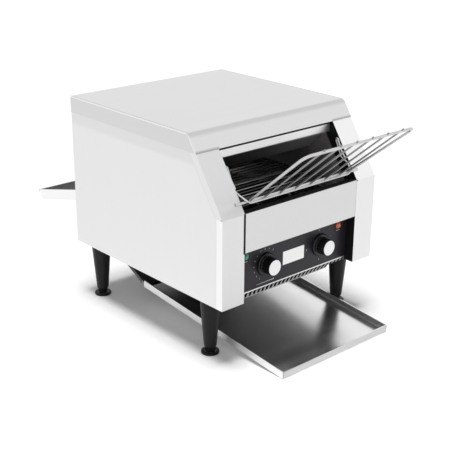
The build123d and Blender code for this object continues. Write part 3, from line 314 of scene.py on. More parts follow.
def wire(bm, path, radius, sides, domed=True):
    """A round wire along a path, with slightly domed ends."""
    dome_depth, dome_width, sharpest = 0.35, 0.72, 0.5
    rings = []
    across, up = frame_axes((path[1] - path[0]).normalized())
    if domed:
        back = path[0] - path[1]
        path = [path[0], *path, path[-1].copy()]
        path[1] = path[0] - back.normalized() * radius * dome_depth
        path[-2] = path[-1] + (path[-3] - path[-1]).normalized() * radius * dome_depth
    for index, point in enumerate(path):
        ahead = path[min(index + 1, len(path) - 1)] - path[max(index - 1, 0)]
        ahead.normalize()
        across = (across - ahead * across.dot(ahead)).normalized()
        up = ahead.cross(across)
        wide = radius * dome_width if domed and index in (0, len(path) - 1) else radius
        if 0 < index < len(path) - 1:
            turn = (path[index] - path[index - 1]).angle(path[index + 1] - path[index], 0.0)
            wide /= max(sharpest, cos(turn / 2))
        rings.append([bm.verts.new(point + (across * cos(a) + up * sin(a)) * wide)
                      for a in (2 * pi * k / sides for k in range(sides))])
    skin(bm, rings, True)


def lathe(bm, profile, centre, axis, steps, flutes=0, depth=0.0):
    """Turns a profile of (radius, height) about an axis through a centre; radius 0 closes it.
    With flutes, a third number is the share of their full depth at that point."""
    across, up = frame_axes(axis)
    axis = axis.normalized()
    rings = []
    for radius, height, *share in profile:
        middle = centre + axis * height
        if radius == 0:
            rings.append([bm.verts.new(middle)])
            continue
        ring = []
        for k in range(steps):
            a = 2 * pi * k / steps
            wide = radius
            if flutes:
                wide -= depth * share[0] * abs(sin(a * flutes / 2)) ** 1.5
            ring.append(bm.verts.new(middle + (across * cos(a) + up * sin(a)) * wide))
        rings.append(ring)
    skin(bm, rings)


def slab(bm, centre, normal, size, radius=0.0):
    """A plate with rounded corners: size is (width along X, height, thickness), centre on its
    back."""
    steps = 3 if radius else 0
    normal = normal.normalized()
    up = normal.cross(RIGHT)
    width, height, thick = size
    outline = []
    for sx, sy, start in ((1, 1, 0), (-1, 1, 90), (-1, -1, 180), (1, -1, 270)):
        for step in range(steps + 1):
            a = radians(start + 90 * step / max(1, steps))
            outline.append((sx * (width / 2 - radius) + radius * cos(a),
                            sy * (height / 2 - radius) + radius * sin(a)))
    skin(bm, [[bm.verts.new(centre + RIGHT * x + up * y + normal * h) for x, y in outline]
              for h in (0, thick)], True)


def placed(name, data):
    """A new object in the scene."""
    made = bpy.data.objects.new(name, data)
    bpy.context.scene.collection.objects.link(made)
    return made


def mesh_from(name, bm):
    mesh = bpy.data.meshes.new(name)
    bm.to_mesh(mesh)
    bm.free()
    return mesh


def piece(name, bm, looks, node, slot=None, sharp=35.0, weighted=True):
    """Turns a built mesh into a piece that rides with a node, and replaces it where a material
    slot is given."""
    bmesh.ops.recalc_face_normals(bm, faces=bm.faces)
    mesh = mesh_from(name, bm)
    for look in looks if isinstance(looks, tuple) else (looks,):
        mesh.materials.append(finish_called(look).material)
    mesh.polygons.foreach_set("use_smooth", [True] * len(mesh.polygons))
    mesh.set_sharp_from_angle(angle=radians(sharp))
    made = placed(name, mesh)
    if weighted:
        fair = made.modifiers.new("fair", "WEIGHTED_NORMAL")
        fair.keep_sharp = True
    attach(made, BODY_OF[node])
    if slot:
        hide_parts(node)
    return made


def solid_of(node):
    """A clean copy of a node's solid, with its flat faces whole."""
    same_place, same_plane = 2e-6, radians(0.4)
    bm = bmesh.new()
    bm.from_mesh(frame["nodes"][node].data)
    bmesh.ops.remove_doubles(bm, verts=bm.verts, dist=same_place)
    bmesh.ops.dissolve_limit(bm, angle_limit=same_plane, verts=bm.verts, edges=bm.edges)
    return bm


def face_width(face):
    return 2 * face.calc_area() / max(1e-9, sum(edge.calc_length() for edge in face.edges))


def soften(bm, inside, thickness):
    """Rounds the bends of folded sheet, outside and inside about one centre, and hands back the
    faces of the outside."""
    least_turn, cut_edge, full = radians(28), 1.9 * thickness, 0.98
    rounded_faces = []
    for convex, radius in ((False, inside), (True, inside + thickness)):
        bends = [edge for edge in bm.edges
                 if len(edge.link_faces) == 2 and edge.is_convex == convex
                 and edge.calc_face_angle(0) >= least_turn
                 and min(face_width(face) for face in edge.link_faces) > cut_edge]
        if bends:
            made = bmesh.ops.bevel(bm, geom=bends, offset=radius * full, offset_type="OFFSET",
                                   segments=4, profile=0.5, affect="EDGES",
                                   clamp_overlap=True)
            if convex:
                rounded_faces = made["faces"]
    return rounded_faces


def wear(look, *nodes):
    """Gives the nodes' own objects a finish."""
    for node in nodes:
        for slot in frame["nodes"][node].material_slots:
            slot.material = finish_called(look).material


# ---------------------------------------------------------------- sizes and colours
def length(name, description, default):
    return FloatProperty(name=name, description=description, default=default * MM, min=0.0,
                         subtype="DISTANCE", unit="LENGTH", precision=4)


def tint(name, description, default):
    return FloatVectorProperty(name=name, description=description, default=default, size=3,
                               min=0.0, max=1.0, subtype="COLOR")


class ToasterSizes(bpy.types.PropertyGroup):
    """Sizes of the fine pieces."""

    bend_inside: length("Inside of a bend", "Inner radius of the folded edges", 0.8)
    frame_wire: length("Rack frame wire", "Thickness of the rack's outer frame", 4.8)
    rack_wire: length("Rack wire", "Thickness of the rack's long wires", 3.2)
    cross_wire: length("Cross wire", "Thickness of the wire with the two guards", 3.6)
    pivot_rod: length("Pivot rod", "Thickness of the rod that the rack turns on", 5.0)
    rung: length("Belt rung", "Thickness of the belt's cross wires", 2.4)
    hook: length("Belt hook", "Thickness of the hooks that join the belt's strands", 1.5)
    tube: length("Heating tube", "Thickness of a heating tube", 8.0)
    mark: length("Scale mark", "Height of the figures round the knobs", 2.4)


class ToasterColours(bpy.types.PropertyGroup):
    """Colours of the finishes."""

    casing: tint("Casing", "Satin steel of the side panels", (0.765,) * 3)
    bend: tint("Bends", "Steel along the folded edges", (0.60,) * 3)
    # the flanges painted darker than the side sheet they are folded from, as painted shade
    flange: tint("Flanges", "Satin steel of the front flanges", (0.726,) * 3)
    lid: tint("Lid", "Satin steel of the lid", (0.741,) * 3)
    rail: tint("Rail", "Steel of the rail over the mouth", (0.80,) * 3)
    fascia: tint("Fascia", "Steel of the plate over the controls", (0.67,) * 3)
    tray: tint("Trays", "Brushed steel of the catch tray", (0.86,) * 3)
    # the trays' outer walls painted lighter than their floors, as painted light
    wall: tint("Tray walls", "Folded walls of the two trays", (0.90,) * 3)
    zinc: tint("Zinc sheet", "Hidden sheet and brackets", (0.55, 0.56, 0.57))
    pan: tint("Base sheet", "Dull sheet under the casing", (0.16, 0.16, 0.165))
    oven: tint("Oven sheet", "Heat-darkened sheet in the oven", (0.085, 0.085, 0.09))
    panel: tint("Control panel", "Dark paint of the control panel", (0.0185, 0.0160, 0.0235))
    plastic: tint("Black plastic", "Legs, feet and gland", (0.0085, 0.0085, 0.0095))
    knob: tint("Knobs", "Glossy black of the knobs", (0.005, 0.005, 0.006))
    wire: tint("Bright wire", "Plated wire of the rack", (0.64,) * 3)
    belt: tint("Belt wire", "Wire of the belt", (0.13, 0.127, 0.124))
    marks: tint("Print", "Figures and bars on the panel", (0.78, 0.78, 0.80))
    cap: tint("Knob caps", "Spun discs on the knobs", (0.82, 0.82, 0.83))
    label: tint("Plate", "Plain plate between the knobs", (0.82, 0.815, 0.80))
    green: tint("Green lamp", "Lens on the left", (0.02, 0.25, 0.14))
    orange: tint("Orange lamp", "Lens on the right", (0.75, 0.13, 0.03))
    floor: tint("Floor", "Floor and surroundings", (1.0,) * 3)


# ---------------------------------------------------------------- finishes
def colour_of(name):
    return tuple(getattr(bpy.context.scene.toaster_colours, name))


def sizes():
    return bpy.context.scene.toaster_sizes


def shaded(colour, share):
    return tuple(channel * share for channel in colour)


def satin_sheet(name, colour, roughness, along, streak, grain_depth=0.04):
    """Sheet with a fine grain along one axis, soft clouds and faint long streaks."""
    finish = Finish(name, colour, roughness, 1.0)
    fine = [8 if axis == along else 1500 for axis in "XYZ"]
    broad = [1.5 if axis == along else 120 for axis in "XYZ"]
    grain = finish.noise(1.0, 3.0, 0.65, fine)
    streaks = finish.noise(1.0, stretch=broad)
    clouds = finish.noise(7.0)
    finish.give("Roughness", roughness + (grain - 0.5) * 0.16 + (clouds - 0.5) * 0.10)
    finish.paint(finish.mix(streaks * 0.6 + clouds * 0.4, shaded(colour, 1 - streak), colour))
    finish.bump(grain, grain_depth)
    return finish


def baked_sheet(name, colour, metal=0.85):
    """Oven sheet, darkened and slightly tinted by heat."""
    finish = Finish(name, colour, 0.42, metal)
    soot = finish.noise(14.0, 4.0, 0.6)
    warmth = finish.noise(2.0, stretch=(3, 9, 9))
    brown = tuple(channel * warm for channel, warm in zip(colour, (1.25, 1.05, 0.85)))
    finish.paint(finish.mix(soot, shaded(colour, 0.55), finish.mix(warmth, colour, brown)))
    finish.give("Roughness", 0.30 + soot * 0.28)
    finish.bump(finish.noise(600.0), 0.05, 0.0003)
    return finish


def bright_wire(name, colour, roughness, dull):
    """Drawn and plated wire with faint dull patches."""
    finish = Finish(name, colour, roughness, 1.0)
    patch = finish.noise(60.0, 3.0, 0.6)
    finish.give("Roughness", roughness + patch * dull)
    finish.paint(finish.mix(patch, shaded(colour, 0.9), colour))
    finish.bump(finish.noise(900.0, 1.0), 0.03)
    return finish


def moulded(name, colour, roughness, texture, shine=0.5):
    """Moulded plastic or paint with a fine surface texture."""
    finish = Finish(name, colour, roughness, Specular_IOR_Level=shine)
    pores = finish.noise(1400.0, 2.0, 0.55)
    patch = finish.noise(25.0, 3.0)
    finish.give("Roughness", roughness + (patch - 0.5) * 0.14 + (pores - 0.5) * 0.08)
    lighter = tuple(min(1.0, channel * 1.25 + 0.003) for channel in colour)
    finish.paint(finish.mix(patch, colour, lighter))
    finish.bump(pores, texture)
    return finish


def knob_seat(joint):
    """Where a knob meets the control panel."""
    return Vector((AXIS[joint].x, PANEL - KNOB_GAP, AXIS[joint].z))


def spun_disc(name, colour, joint):
    """Disc turned in a lathe: fine rings about its centre."""
    finish = Finish(name, colour, 0.28, 1.0)
    seat = tuple(knob_seat(joint))
    offset = finish.math("SUBTRACT", finish.where(), seat, kind="VectorMath")
    flat = finish.math("MULTIPLY", offset, (1.0, 0.0, 1.0), kind="VectorMath")
    away = finish.math("LENGTH", flat, kind="VectorMath", out="Value")
    rings = finish.node("TexNoise", {"noise_dimensions": "1D"},
                        {"W": away * 2600.0, "Scale": 1.0, "Detail": 3.0})
    finish.give("Roughness", 0.20 + rings * 0.20)
    finish.paint(finish.mix(rings, shaded(colour, 0.92), colour))
    finish.bump(rings, 0.06)
    return finish


def lens(name, colour):
    """Coloured lamp lens with a faint ripple."""
    finish = Finish(name, colour, 0.12, IOR=1.49, Coat_Weight=0.6)
    ripple = finish.noise(500.0, 1.0, 0.4)
    brighter = tuple(min(1.0, channel * 1.6 + 0.02) for channel in colour)
    finish.paint(finish.mix(ripple, colour, brighter))
    finish.bump(ripple, 0.05)
    return finish


def quartz(name, colour):
    """Milky heating tube, banded along its length."""
    finish = Finish(name, colour, 0.25, IOR=1.46, Coat_Weight=0.5)
    bands = finish.noise(1.0, 1.0, 0.4, (900, 40, 40))
    finish.paint(finish.mix(bands, (0.30, 0.28, 0.26), (0.66, 0.64, 0.60)))
    finish.give("Roughness", 0.22 + bands * 0.15)
    return finish


def behind_slope(y, z):
    """Distance behind the sloped front of the casing, square to it."""
    return (y - FRONT) * sin(SLOPE) - (z - BEND) * cos(SLOPE)


def casing_sheet(name, colour):
    """Side panel with painted light: a painted highlight along its front edge, and painted shade under the lid's
    skirt, along its slope and in the notch where the flanges meet.
    """
    finish = satin_sheet(name, colour, 0.34, "Z", 0.03)
    y, z = finish.along("Y"), finish.along("Z")
    depth = behind_slope(y, z)
    high = finish.beyond(z, BEND, BEND + 0.002)
    # painted light: shade under the lid's skirt, a highlight along the front edge, shade and a dark line along the
    # slope, dark shade in the notch at the bend
    shade_under_skirt = finish.beyond(z, 0.3320, 0.3420)
    front_highlight = (finish.below(y, FRONT + 0.0125, FRONT + 0.0155)
                  * finish.below(z, BEND - 0.002, BEND))
    slope_shade = finish.below(depth, 0.0126, 0.0132) * high
    slope_shade_line = finish.beyond(depth, 0.0122, 0.0128) * finish.below(depth, 0.0144, 0.0152) * high
    notch_shade = (finish.below(y, FRONT + 0.0045, FRONT + 0.0055)
             * finish.beyond(z, BEND - 0.0012, BEND - 0.0006)
             * finish.below(z, BEND + 0.001, BEND + 0.0016))
    finish.shade(colour, (shade_under_skirt, 0.91), (front_highlight, 1.125), (slope_shade, 0.965),
                 (slope_shade_line, 0.90), (notch_shade, 0.62))
    return finish


def flange_sheet(name, colour):
    """Front flanges of the side panels: the right flange painted lighter, more so on its slope, and painted shade,
    black, along the left flange's inner edge above the panel.
    """
    finish = satin_sheet(name, colour, 0.36, "Z", 0.05)
    x, z = finish.along("X"), finish.along("Z")
    # painted light: the right flange lighter than the left, and lighter still on its slope
    right = finish.beyond(x, -0.01, 0.01)
    high = finish.beyond(z, BEND - 0.001, BEND + 0.001)
    finish.shade(colour, (right * (1 - high), 1.07), (right * high, 1.22))
    # painted shade: black along the left flange's inner edge, in the gap beside the fascia
    gap_shade_edge = finish.beyond(x, -HALF_OPEN - 0.0026, -HALF_OPEN - 0.0022)
    above_panel = finish.beyond(z, 0.1925, 0.1930)
    finish.tint(gap_shade_edge * (1 - right) * (1 - high) * above_panel, (0.02,) * 3)
    return finish


def lid_sheet(name, colour):
    """Lid, with painted light: shade on its front bend, a painted shadow along the foot of its skirt, a dark line
    along the side edges of its top, its sides darker, and painted highlights along the top and front edges of its
    sides.
    """
    finish = satin_sheet(name, colour, 0.36, "X", 0.04)
    y, z = finish.along("Y"), finish.along("Z")
    across = finish.math("ABSOLUTE", finish.along("X"))
    low, top, half = LOW["top_cover"].z, HIGH["top_cover"].z, HIGH["top_cover"].x
    depth = behind_slope(y, z)
    # painted shade on the front bend, a painted shadow at the skirt's foot, a painted dark line along the top's
    # side edges
    front_bend_shade = (finish.below(z, top - 0.0012, top - 0.0001)
                  * finish.beyond(z, top - 0.0095, top - 0.0035))
    skirt_foot_shadow = (finish.below(z, low + 0.0004, low + 0.0046)
                  * finish.beyond(across, HALF_OPEN - 0.0015, HALF_OPEN))
    edge_shade_line = (finish.beyond(across, half - 0.0042, half - 0.0032)
                 * finish.beyond(z, top - 0.0008, top - 0.0002))
    # the sides painted darker as shade, with painted highlights along their top and front edges
    side = finish.beyond(across, half - 0.0006, half - 0.0003)
    side_top_highlight = side * finish.beyond(z, top - 0.0026, top - 0.0018)
    side_front_highlight = side * finish.below(depth, 0.0004, 0.0012)
    finish.shade(colour, (front_bend_shade, 0.80), (skirt_foot_shadow, 0.55), (edge_shade_line, 0.82), (side, 0.87),
                 (side_top_highlight, 1.16), (side_front_highlight, 1.16))
    return finish


def catch_wall_sheet(name, colour):
    """Walls of the catch tray, the front one painted darker as shade."""
    finish = satin_sheet(name, colour, 0.42, "X", 0.05)
    face = LOW["catch_tray"].y
    # painted shade: the front wall darker
    finish.shade(colour, (finish.below(finish.along("Y"), face + 0.0009, face + 0.0013), 0.68))
    return finish


def between_slots(finish, shift):
    """1 on the bars between the leaning slots, 0 in the slots."""
    across = finish.along("X") - finish.along("Z") * SLOT_LEAN + shift
    return finish.beyond(finish.math("PINGPONG", across, SLOT_PITCH / 2), 0.0028, 0.0032)


def pan_sheet(name, colour):
    """Dull sheet of the base; on its front lip, leaning slots painted black as shade, the bars between them
    painted a shaded grey, and a painted highlight along the lip's top edge.
    """
    finish = satin_sheet(name, colour, 0.42, "X", 0.2)
    lip = finish.below(finish.along("Y"), PANEL + 0.0016, PANEL + 0.0020)
    bars = between_slots(finish, 0.50138)
    cut_edge = finish.beyond(finish.along("Z"), 0.1092, 0.1097)
    # painted shade: the lip's bars darker grey and its slots black; painted highlight: a bright line along the
    # lip's top edge
    finish.tint(lip * bars, (0.30,) * 3)
    finish.tint(lip * (1 - bars), BLACK)
    finish.tint(lip * cut_edge, (0.78,) * 3)
    return finish


def strip_sheet(name, colour):
    """Slotted strip under the control panel, with black painted as shade in its slots and a little below them."""
    finish = satin_sheet(name, colour, 0.40, "X", 0.1)
    slot_middle = 0.0962
    slots = 1 - between_slots(finish, 0.5 + slot_middle * SLOT_LEAN)
    # painted shade: black in the slots, reaching a little below them
    finish.tint(slots * finish.beyond(finish.along("Z"), 0.0897, 0.0901), BLACK)
    return finish


def shield_sheet(name, colour):
    """Heater shield, with painted light: lighter towards its right end and painted darker towards its left."""
    finish = baked_sheet(name, colour, 0.6)
    x = finish.along("X")
    right, left = finish.beyond(x, -0.05, 0.14), finish.below(x, -0.14, -0.02)
    # painted light: the right end lighter, the left end darker as shade
    finish.shade(colour, (right, 4.6), (left, 0.25))
    return finish


def belt_wire(name, colour):
    """Belt wire, every second strand painted bright as a highlight where it comes up past the front sprockets."""
    finish = bright_wire(name, colour, 0.30, 0.25)
    y, z = finish.along("Y"), finish.along("Z")
    whole_pitches = 40 * BELT_PITCH
    first_glint_strand = AXIS["idler_shaft_turn"].y + 3 * BELT_PITCH
    strand = finish.math("PINGPONG", y - first_glint_strand + whole_pitches, BELT_PITCH)
    # painted highlight on every second strand near the front sprockets
    strand_glint = finish.below(strand, 0.0024, 0.0028) * finish.beyond(z, 0.255, 0.256)
    finish.shade(colour, (strand_glint * finish.below(y, -0.125, -0.118), 4.0))
    return finish


# name: kind, colour or its name, share of it, then the kind's other values
FINISHES = {
    "casing_steel": (casing_sheet, "casing", 1.0),
    "bend_steel": (satin_sheet, "bend", 1.0, 0.34, "Z", 0.03),
    "flange_steel": (flange_sheet, "flange", 1.0),
    "lid_steel": (lid_sheet, "lid", 1.0),
    "fascia_steel": (satin_sheet, "fascia", 1.0, 0.34, "X", 0.03),
    "rail_steel": (satin_sheet, "rail", 1.0, 0.34, "X", 0.03),
    "recess_black": (moulded, BLACK, 1.0, 0.7, 0.05, 0.15),
    "tray_steel": (satin_sheet, "tray", 1.0, 0.20, "X", 0.10, 0.08),
    # the rear tray's inside: a darker copy of the tray steel, as a painted dark reflection
    "rear_tray_steel": (satin_sheet, "tray", 0.55, 0.30, "X", 0.08),
    "tray_wall_steel": (satin_sheet, "wall", 1.0, 0.40, "X", 0.05),
    "catch_wall_steel": (catch_wall_sheet, "wall", 1.0),
    "zinc_sheet": (satin_sheet, "zinc", 1.0, 0.38, "Y", 0.18),
    "pan_sheet": (pan_sheet, "pan", 1.0),
    # the strip: a darker copy of the fascia's steel, as painted shade
    "strip_steel": (strip_sheet, "fascia", 0.62),
    "oven_sheet": (baked_sheet, "oven", 1.0),
    # the right inner wall: a lighter, less metallic copy of the oven sheet, as painted light
    "side_oven_sheet": (baked_sheet, "oven", 4.6, 0.45),
    "chute_sheet": (baked_sheet, "oven", 1.8),
    "baffle_sheet": (baked_sheet, "oven", 1.0, 0.3),
    "shield_sheet": (shield_sheet, "oven", 1.0),
    "panel_paint": (moulded, "panel", 1.0, 0.36, 0.06, 0.3),
    "white_print": (moulded, "marks", 1.0, 0.5, 0.05),
    "label_metal": (satin_sheet, "label", 1.0, 0.30, "X", 0.04),
    "black_plastic": (moulded, "plastic", 1.0, 0.38, 0.10, 0.2),
    "knob_plastic": (moulded, "knob", 1.0, 0.24, 0.03, 0.35),
    "speed_cap_metal": (spun_disc, "cap", 1.0, "speed_knob_turn"),
    "heat_cap_metal": (spun_disc, "cap", 1.0, "heat_knob_turn"),
    "green_lens": (lens, "green", 1.0),
    "orange_lens": (lens, "orange", 1.0),
    "green_ring_plastic": (moulded, "green", 0.10, 0.35, 0.05, 0.3),
    "orange_ring_plastic": (moulded, "orange", 0.10, 0.35, 0.05, 0.3),
    "rack_wire": (bright_wire, "wire", 1.0, 0.30, 0.10),
    "rack_rung_wire": (bright_wire, "wire", 0.58, 0.34, 0.10),
    "belt_wire": (belt_wire, "belt", 1.0),
    "shaft_steel": (bright_wire, (0.14, 0.14, 0.145), 1.0, 0.34, 0.2),
    "bronze": (bright_wire, (0.50, 0.36, 0.20), 1.0, 0.32, 0.2),
    "quartz": (quartz, (0.62, 0.60, 0.56), 1.0),
    "ceramic": (moulded, (0.72, 0.70, 0.64), 1.0, 0.6, 0.15),
    "control_plastic": (moulded, (0.22, 0.16, 0.09), 1.0, 0.45, 0.1),
    "motor_paint": (moulded, (0.30, 0.30, 0.32), 1.0, 0.4, 0.1),
}
MADE = {}


def finish_called(name):
    """Makes a finish once and hands the same one out again."""
    if name not in MADE:
        kind, colour, share, *values = FINISHES[name]
        if isinstance(colour, str):
            colour = colour_of(colour)
        MADE[name] = kind(name, shaded(colour, share), *values)
    return MADE[name]


# ---------------------------------------------------------------- operators
class ToasterStage(bpy.types.Operator):
    """Add the pale floor, the soft studio light and the camera"""

    bl_idname = "toaster.stage"
    bl_label = "Stage"

    def execute(self, context):
        self.floor()
        self.light(context.scene)
        self.camera(context.scene)
        context.scene.view_settings.view_transform = "Standard"
        return {"FINISHED"}

    def floor(self):
        """Matt round floor that a camera sees as bright as the surroundings."""
        bm = bmesh.new()
        bmesh.ops.create_circle(bm, cap_ends=True, cap_tris=True, segments=96, radius=9.0)
        floor = placed("floor", mesh_from("floor", bm))
        finish = Finish("floor_paint", colour_of("floor"), Specular_IOR_Level=0.0,
                        Emission_Strength=0.08)
        finish.give("Roughness", 0.86 + finish.noise(3.0) * 0.08)
        finish.give("Emission Color",
                    finish.ray("Camera") + finish.ray("Glossy") + finish.ray("Transmission"))
        floor.data.materials.append(finish.material)

    def light(self, scene):
        """White surroundings that light the piece only faintly, and two broad lamps."""
        faint = 0.18
        scene.world = scene.world or bpy.data.worlds.new("studio")
        scene.world.use_nodes = True
        sky = Nodes(scene.world.node_tree)
        seen = sky.ray("Camera")
        mirrored = sky.ray("Glossy") + sky.ray("Transmission")
        level = faint * (1 - seen) * (1 - mirrored) + seen + mirrored
        glow = sky.node("Background", None, {"Color": colour_of("floor"), "Strength": level})
        out = sky.tree.nodes.new("ShaderNodeOutputWorld")
        sky.put(out, "Surface", glow)
        for name, energy, spread, aim in (("overhead", 2.45, 21.0, (0.06, 0.0, -1.0)),
                                          ("front_fill", 0.15, 60.0, (0.9, 0.9, -0.8))):
            light = bpy.data.lights.new(name, "SUN")
            light.energy = energy
            light.angle = radians(spread)
            lamp = placed(name, light)
            lamp.rotation_euler = Vector(aim).to_track_quat("-Z", "Y").to_euler()
            lamp.visible_glossy = False

    def camera(self, scene):
        azimuth, elevation, roll = (radians(a) for a in (-41.888, 20.902, 0.444))
        stand = Vector((-1.1338, FRONT - 1.0681, 0.8004))
        back = Vector((sin(azimuth) * cos(elevation),
                       -cos(azimuth) * cos(elevation), sin(elevation)))
        across = UP.cross(back).normalized()
        up = back.cross(across)
        turned = across * cos(roll) + up * sin(roll)
        up = up * cos(roll) - across * sin(roll)
        scene.camera = placed("camera", bpy.data.cameras.new("camera"))
        scene.camera.data.lens = 77.66
        scene.camera.data.sensor_width = 36.0
        scene.camera.data.clip_end = 50.0
        rows = zip(turned, up, back, stand)
        scene.camera.matrix_world = Matrix((*rows, (0, 0, 0, 1)))


SIDE_LOOKS = ("casing_steel", "bend_steel", "flange_steel", "recess_black")
SIDE, BENDS, FLANGES, RECESS = range(4)

# folded sheets: finishes, material slot, thickness in millimetres
FOLDED = {
    "left_side_panel": (SIDE_LOOKS, "stainless", 0.8),
    "right_side_panel": (SIDE_LOOKS, "stainless", 0.8),
    "top_cover": ("lid_steel", "stainless", 0.8),
    "front_fascia": (("fascia_steel", "recess_black"), "stainless", 0.8),
    "upper_front_rail": ("rail_steel", "stainless", 0.8),
    "catch_tray": (("tray_steel", "catch_wall_steel"), "stainless", 1.0),
    "rear_tray": (("rear_tray_steel", "tray_wall_steel"), "stainless", 1.0),
    "return_chute": ("chute_sheet", "oven_sheet", 0.8),
    "heater_front_shield": ("shield_sheet", "oven_sheet", 0.8),
    "ceiling_reflector": ("oven_sheet", "oven_sheet", 0.8),
    "crumb_baffle": ("baffle_sheet", "oven_sheet", 0.8),
    "motor_bracket": ("zinc_sheet", "zinc_sheet", 1.5),
    "tray_ledge": ("oven_sheet", "oven_sheet", 0.8),
}


class ToasterSheets(bpy.types.Operator):
    """Round the bends of the folded sheets and give them their finishes"""

    bl_idname = "toaster.sheets"
    bl_label = "Folded sheets"

    def execute(self, context):
        for node, (looks, slot, sheet) in FOLDED.items():
            bm = solid_of(node)
            bends = soften(bm, sizes().bend_inside, sheet * MM)
            if node.endswith("side_panel"):
                self.sort_side(bm, bends, node.startswith("left"))
            elif node == "front_fascia":
                self.sort_fascia(bm)
            elif node == "upper_front_rail":
                self.lengthen(bm, 0.0066)
            elif node.endswith("tray"):
                self.sort_tray(bm, MIDDLE[node])
            made = piece(node + "_folded", bm, looks, node, slot, 30.0)
            made.visible_shadow = node != "rear_tray"
        wear("casing_steel", "rear_panel")
        wear("pan_sheet", "base_pan")
        wear("oven_sheet", "left_inner_wall")
        wear("side_oven_sheet", "right_inner_wall")
        wear("zinc_sheet", "rear_tray_runners")
        wear("panel_paint", "control_panel")
        wear("strip_steel", "front_vent_strip")
        # black plate behind the slots of the strip, standing in for the shade inside them
        low, high = LOW["front_vent_strip"], HIGH["front_vent_strip"]
        bm = bmesh.new()
        slab(bm, Vector((0, low.y + 0.0014, low.z + 0.0079)), OUT,
             (high.x - low.x - 0.008, 0.0115, 0.0004), 0.002)
        piece("vent_screen", bm, "recess_black", "front_vent_strip")
        return {"FINISHED"}

    def sort_side(self, bm, bends, left):
        """Flanges to the front, the edge of the opening painted black as shade, the bends between."""
        for face in bm.faces:
            if face.normal.y < -0.3:
                face.material_index = FLANGES
            elif abs(face.calc_center_median().x) < HALF_OPEN + 0.0012:
                face.material_index = RECESS
        for face in bends:
            middle = face.calc_center_median()
            if abs(middle.x) < HALF_OPEN + 0.003:
                face.material_index = RECESS if left and middle.z < BEND else FLANGES
            elif middle.y < 0:
                face.material_index = BENDS

    def sort_fascia(self, bm):
        """Back and top painted black as shade; the right edge is a little further out."""
        for face in bm.faces:
            if face.normal.z > 0.6 or face.normal.y > 0.5:
                face.material_index = 1
        bmesh.ops.translate(bm, verts=[v for v in bm.verts if v.co.x > 0], vec=(0.0016, 0, 0))

    def lengthen(self, bm, extra):
        """Moves both ends of the rail outwards."""
        for sign in (-1, 1):
            end = [v for v in bm.verts if v.co.x * sign > HIGH["upper_front_rail"].x - 0.004]
            bmesh.ops.translate(bm, verts=end, vec=(sign * extra, 0, 0))

    def sort_tray(self, bm, centre):
        """Outward sides of the walls."""
        for face in bm.faces:
            level = Vector((face.normal.x, face.normal.y, 0))
            outward = (face.calc_center_median() - centre).dot(level)
            if abs(face.normal.z) < 0.7 and outward > 0:
                face.material_index = 1


class ToasterRack(bpy.types.Operator):
    """Build the welded wire rack in the mouth"""

    bl_idname = "toaster.rack"
    bl_label = "Feed rack"

    def execute(self, context):
        s = sizes()
        pivot = AXIS["rack_tilt"]
        out = Vector((0, -cos(RACK_SLOPE), sin(RACK_SLOPE)))
        above = Vector((0, sin(RACK_SLOPE), cos(RACK_SLOPE)))
        bm = bmesh.new()
        for k in range(RACK_WIRES):
            place = k - (RACK_WIRES - 1) / 2
            foot = pivot + RIGHT * (0.006 + place * 0.036) - above * 0.0008 + out * 0.0012
            tip = pivot + RIGHT * (0.003 + place * 0.037) + above * 0.0012 + out * RACK_REACH
            wire(bm, [foot, tip], s.rack_wire / 2, 12)
        for face in bm.faces:
            face.material_index = 1
        rod = RIGHT * HIGH["feed_rack"].x
        wire(bm, [pivot - rod, pivot + rod], s.pivot_rod / 2, 16)
        bar = out * (RACK_REACH - RACK_TIP)
        corners = [pivot - RIGHT * RACK_FOOT_HALF, pivot - RIGHT * RACK_END_HALF + bar,
                   pivot + RIGHT * RACK_END_HALF + bar, pivot + RIGHT * RACK_FOOT_HALF]
        wire(bm, rounded(corners, 0.014, 8), s.frame_wire / 2, 16)
        wire(bm, self.guard_path(pivot, s), s.cross_wire / 2, 14)
        tab = (0.026, 0.008, 0.0012)
        for sign in (-1, 1):
            under = pivot - above * (s.pivot_rod / 2 - 0.0006) + RIGHT * sign * 0.085
            slab(bm, under - above * 0.0006, above, tab, 0.0015)
        piece("rack_wirework", bm, ("rack_wire", "rack_rung_wire"), "feed_rack", "chrome_wire",
              40.0)
        return {"FINISHED"}

    def guard_path(self, pivot, s):
        """Cross wire in front of the rod, bent over it at both ends and up into a hairpin guard."""
        weld = 0.0004
        hug = (s.pivot_rod + s.cross_wire) / 2 - weld
        rise = Vector((0, cos(GUARD_LEAN), sin(GUARD_LEAN)))
        fore = Vector((0, -sin(GUARD_LEAN), cos(GUARD_LEAN))) * GUARD_WIDTH
        # distance from the middle, and turn round the rod in degrees
        over_rod = ((0.1155, 38), (0.1175, 30), (0.1195, 14), (0.1215, -8), (0.1238, -30))
        path = []
        for sign in (-1, 1):
            arm = []
            for across, turn in over_rod:
                a = radians(turn)
                arm.append(pivot + RIGHT * sign * across
                           + Vector((0, -cos(a), -sin(a))) * hug)
            outside = pivot + RIGHT * sign * 0.132
            low = outside + Vector((0, 0.010, 0.012))
            knee = outside + Vector((0, 0.027, 0.020))
            top = knee + rise * 0.0334
            back = low + (knee - low) * 0.4 + UP * 0.0038
            arm += rounded([arm[-1], low, knee, top, top + fore, knee + rise * 0.012 + fore,
                            back], 0.012, 8)[1:]
            path = path + arm if sign == 1 else arm[::-1]
        return path


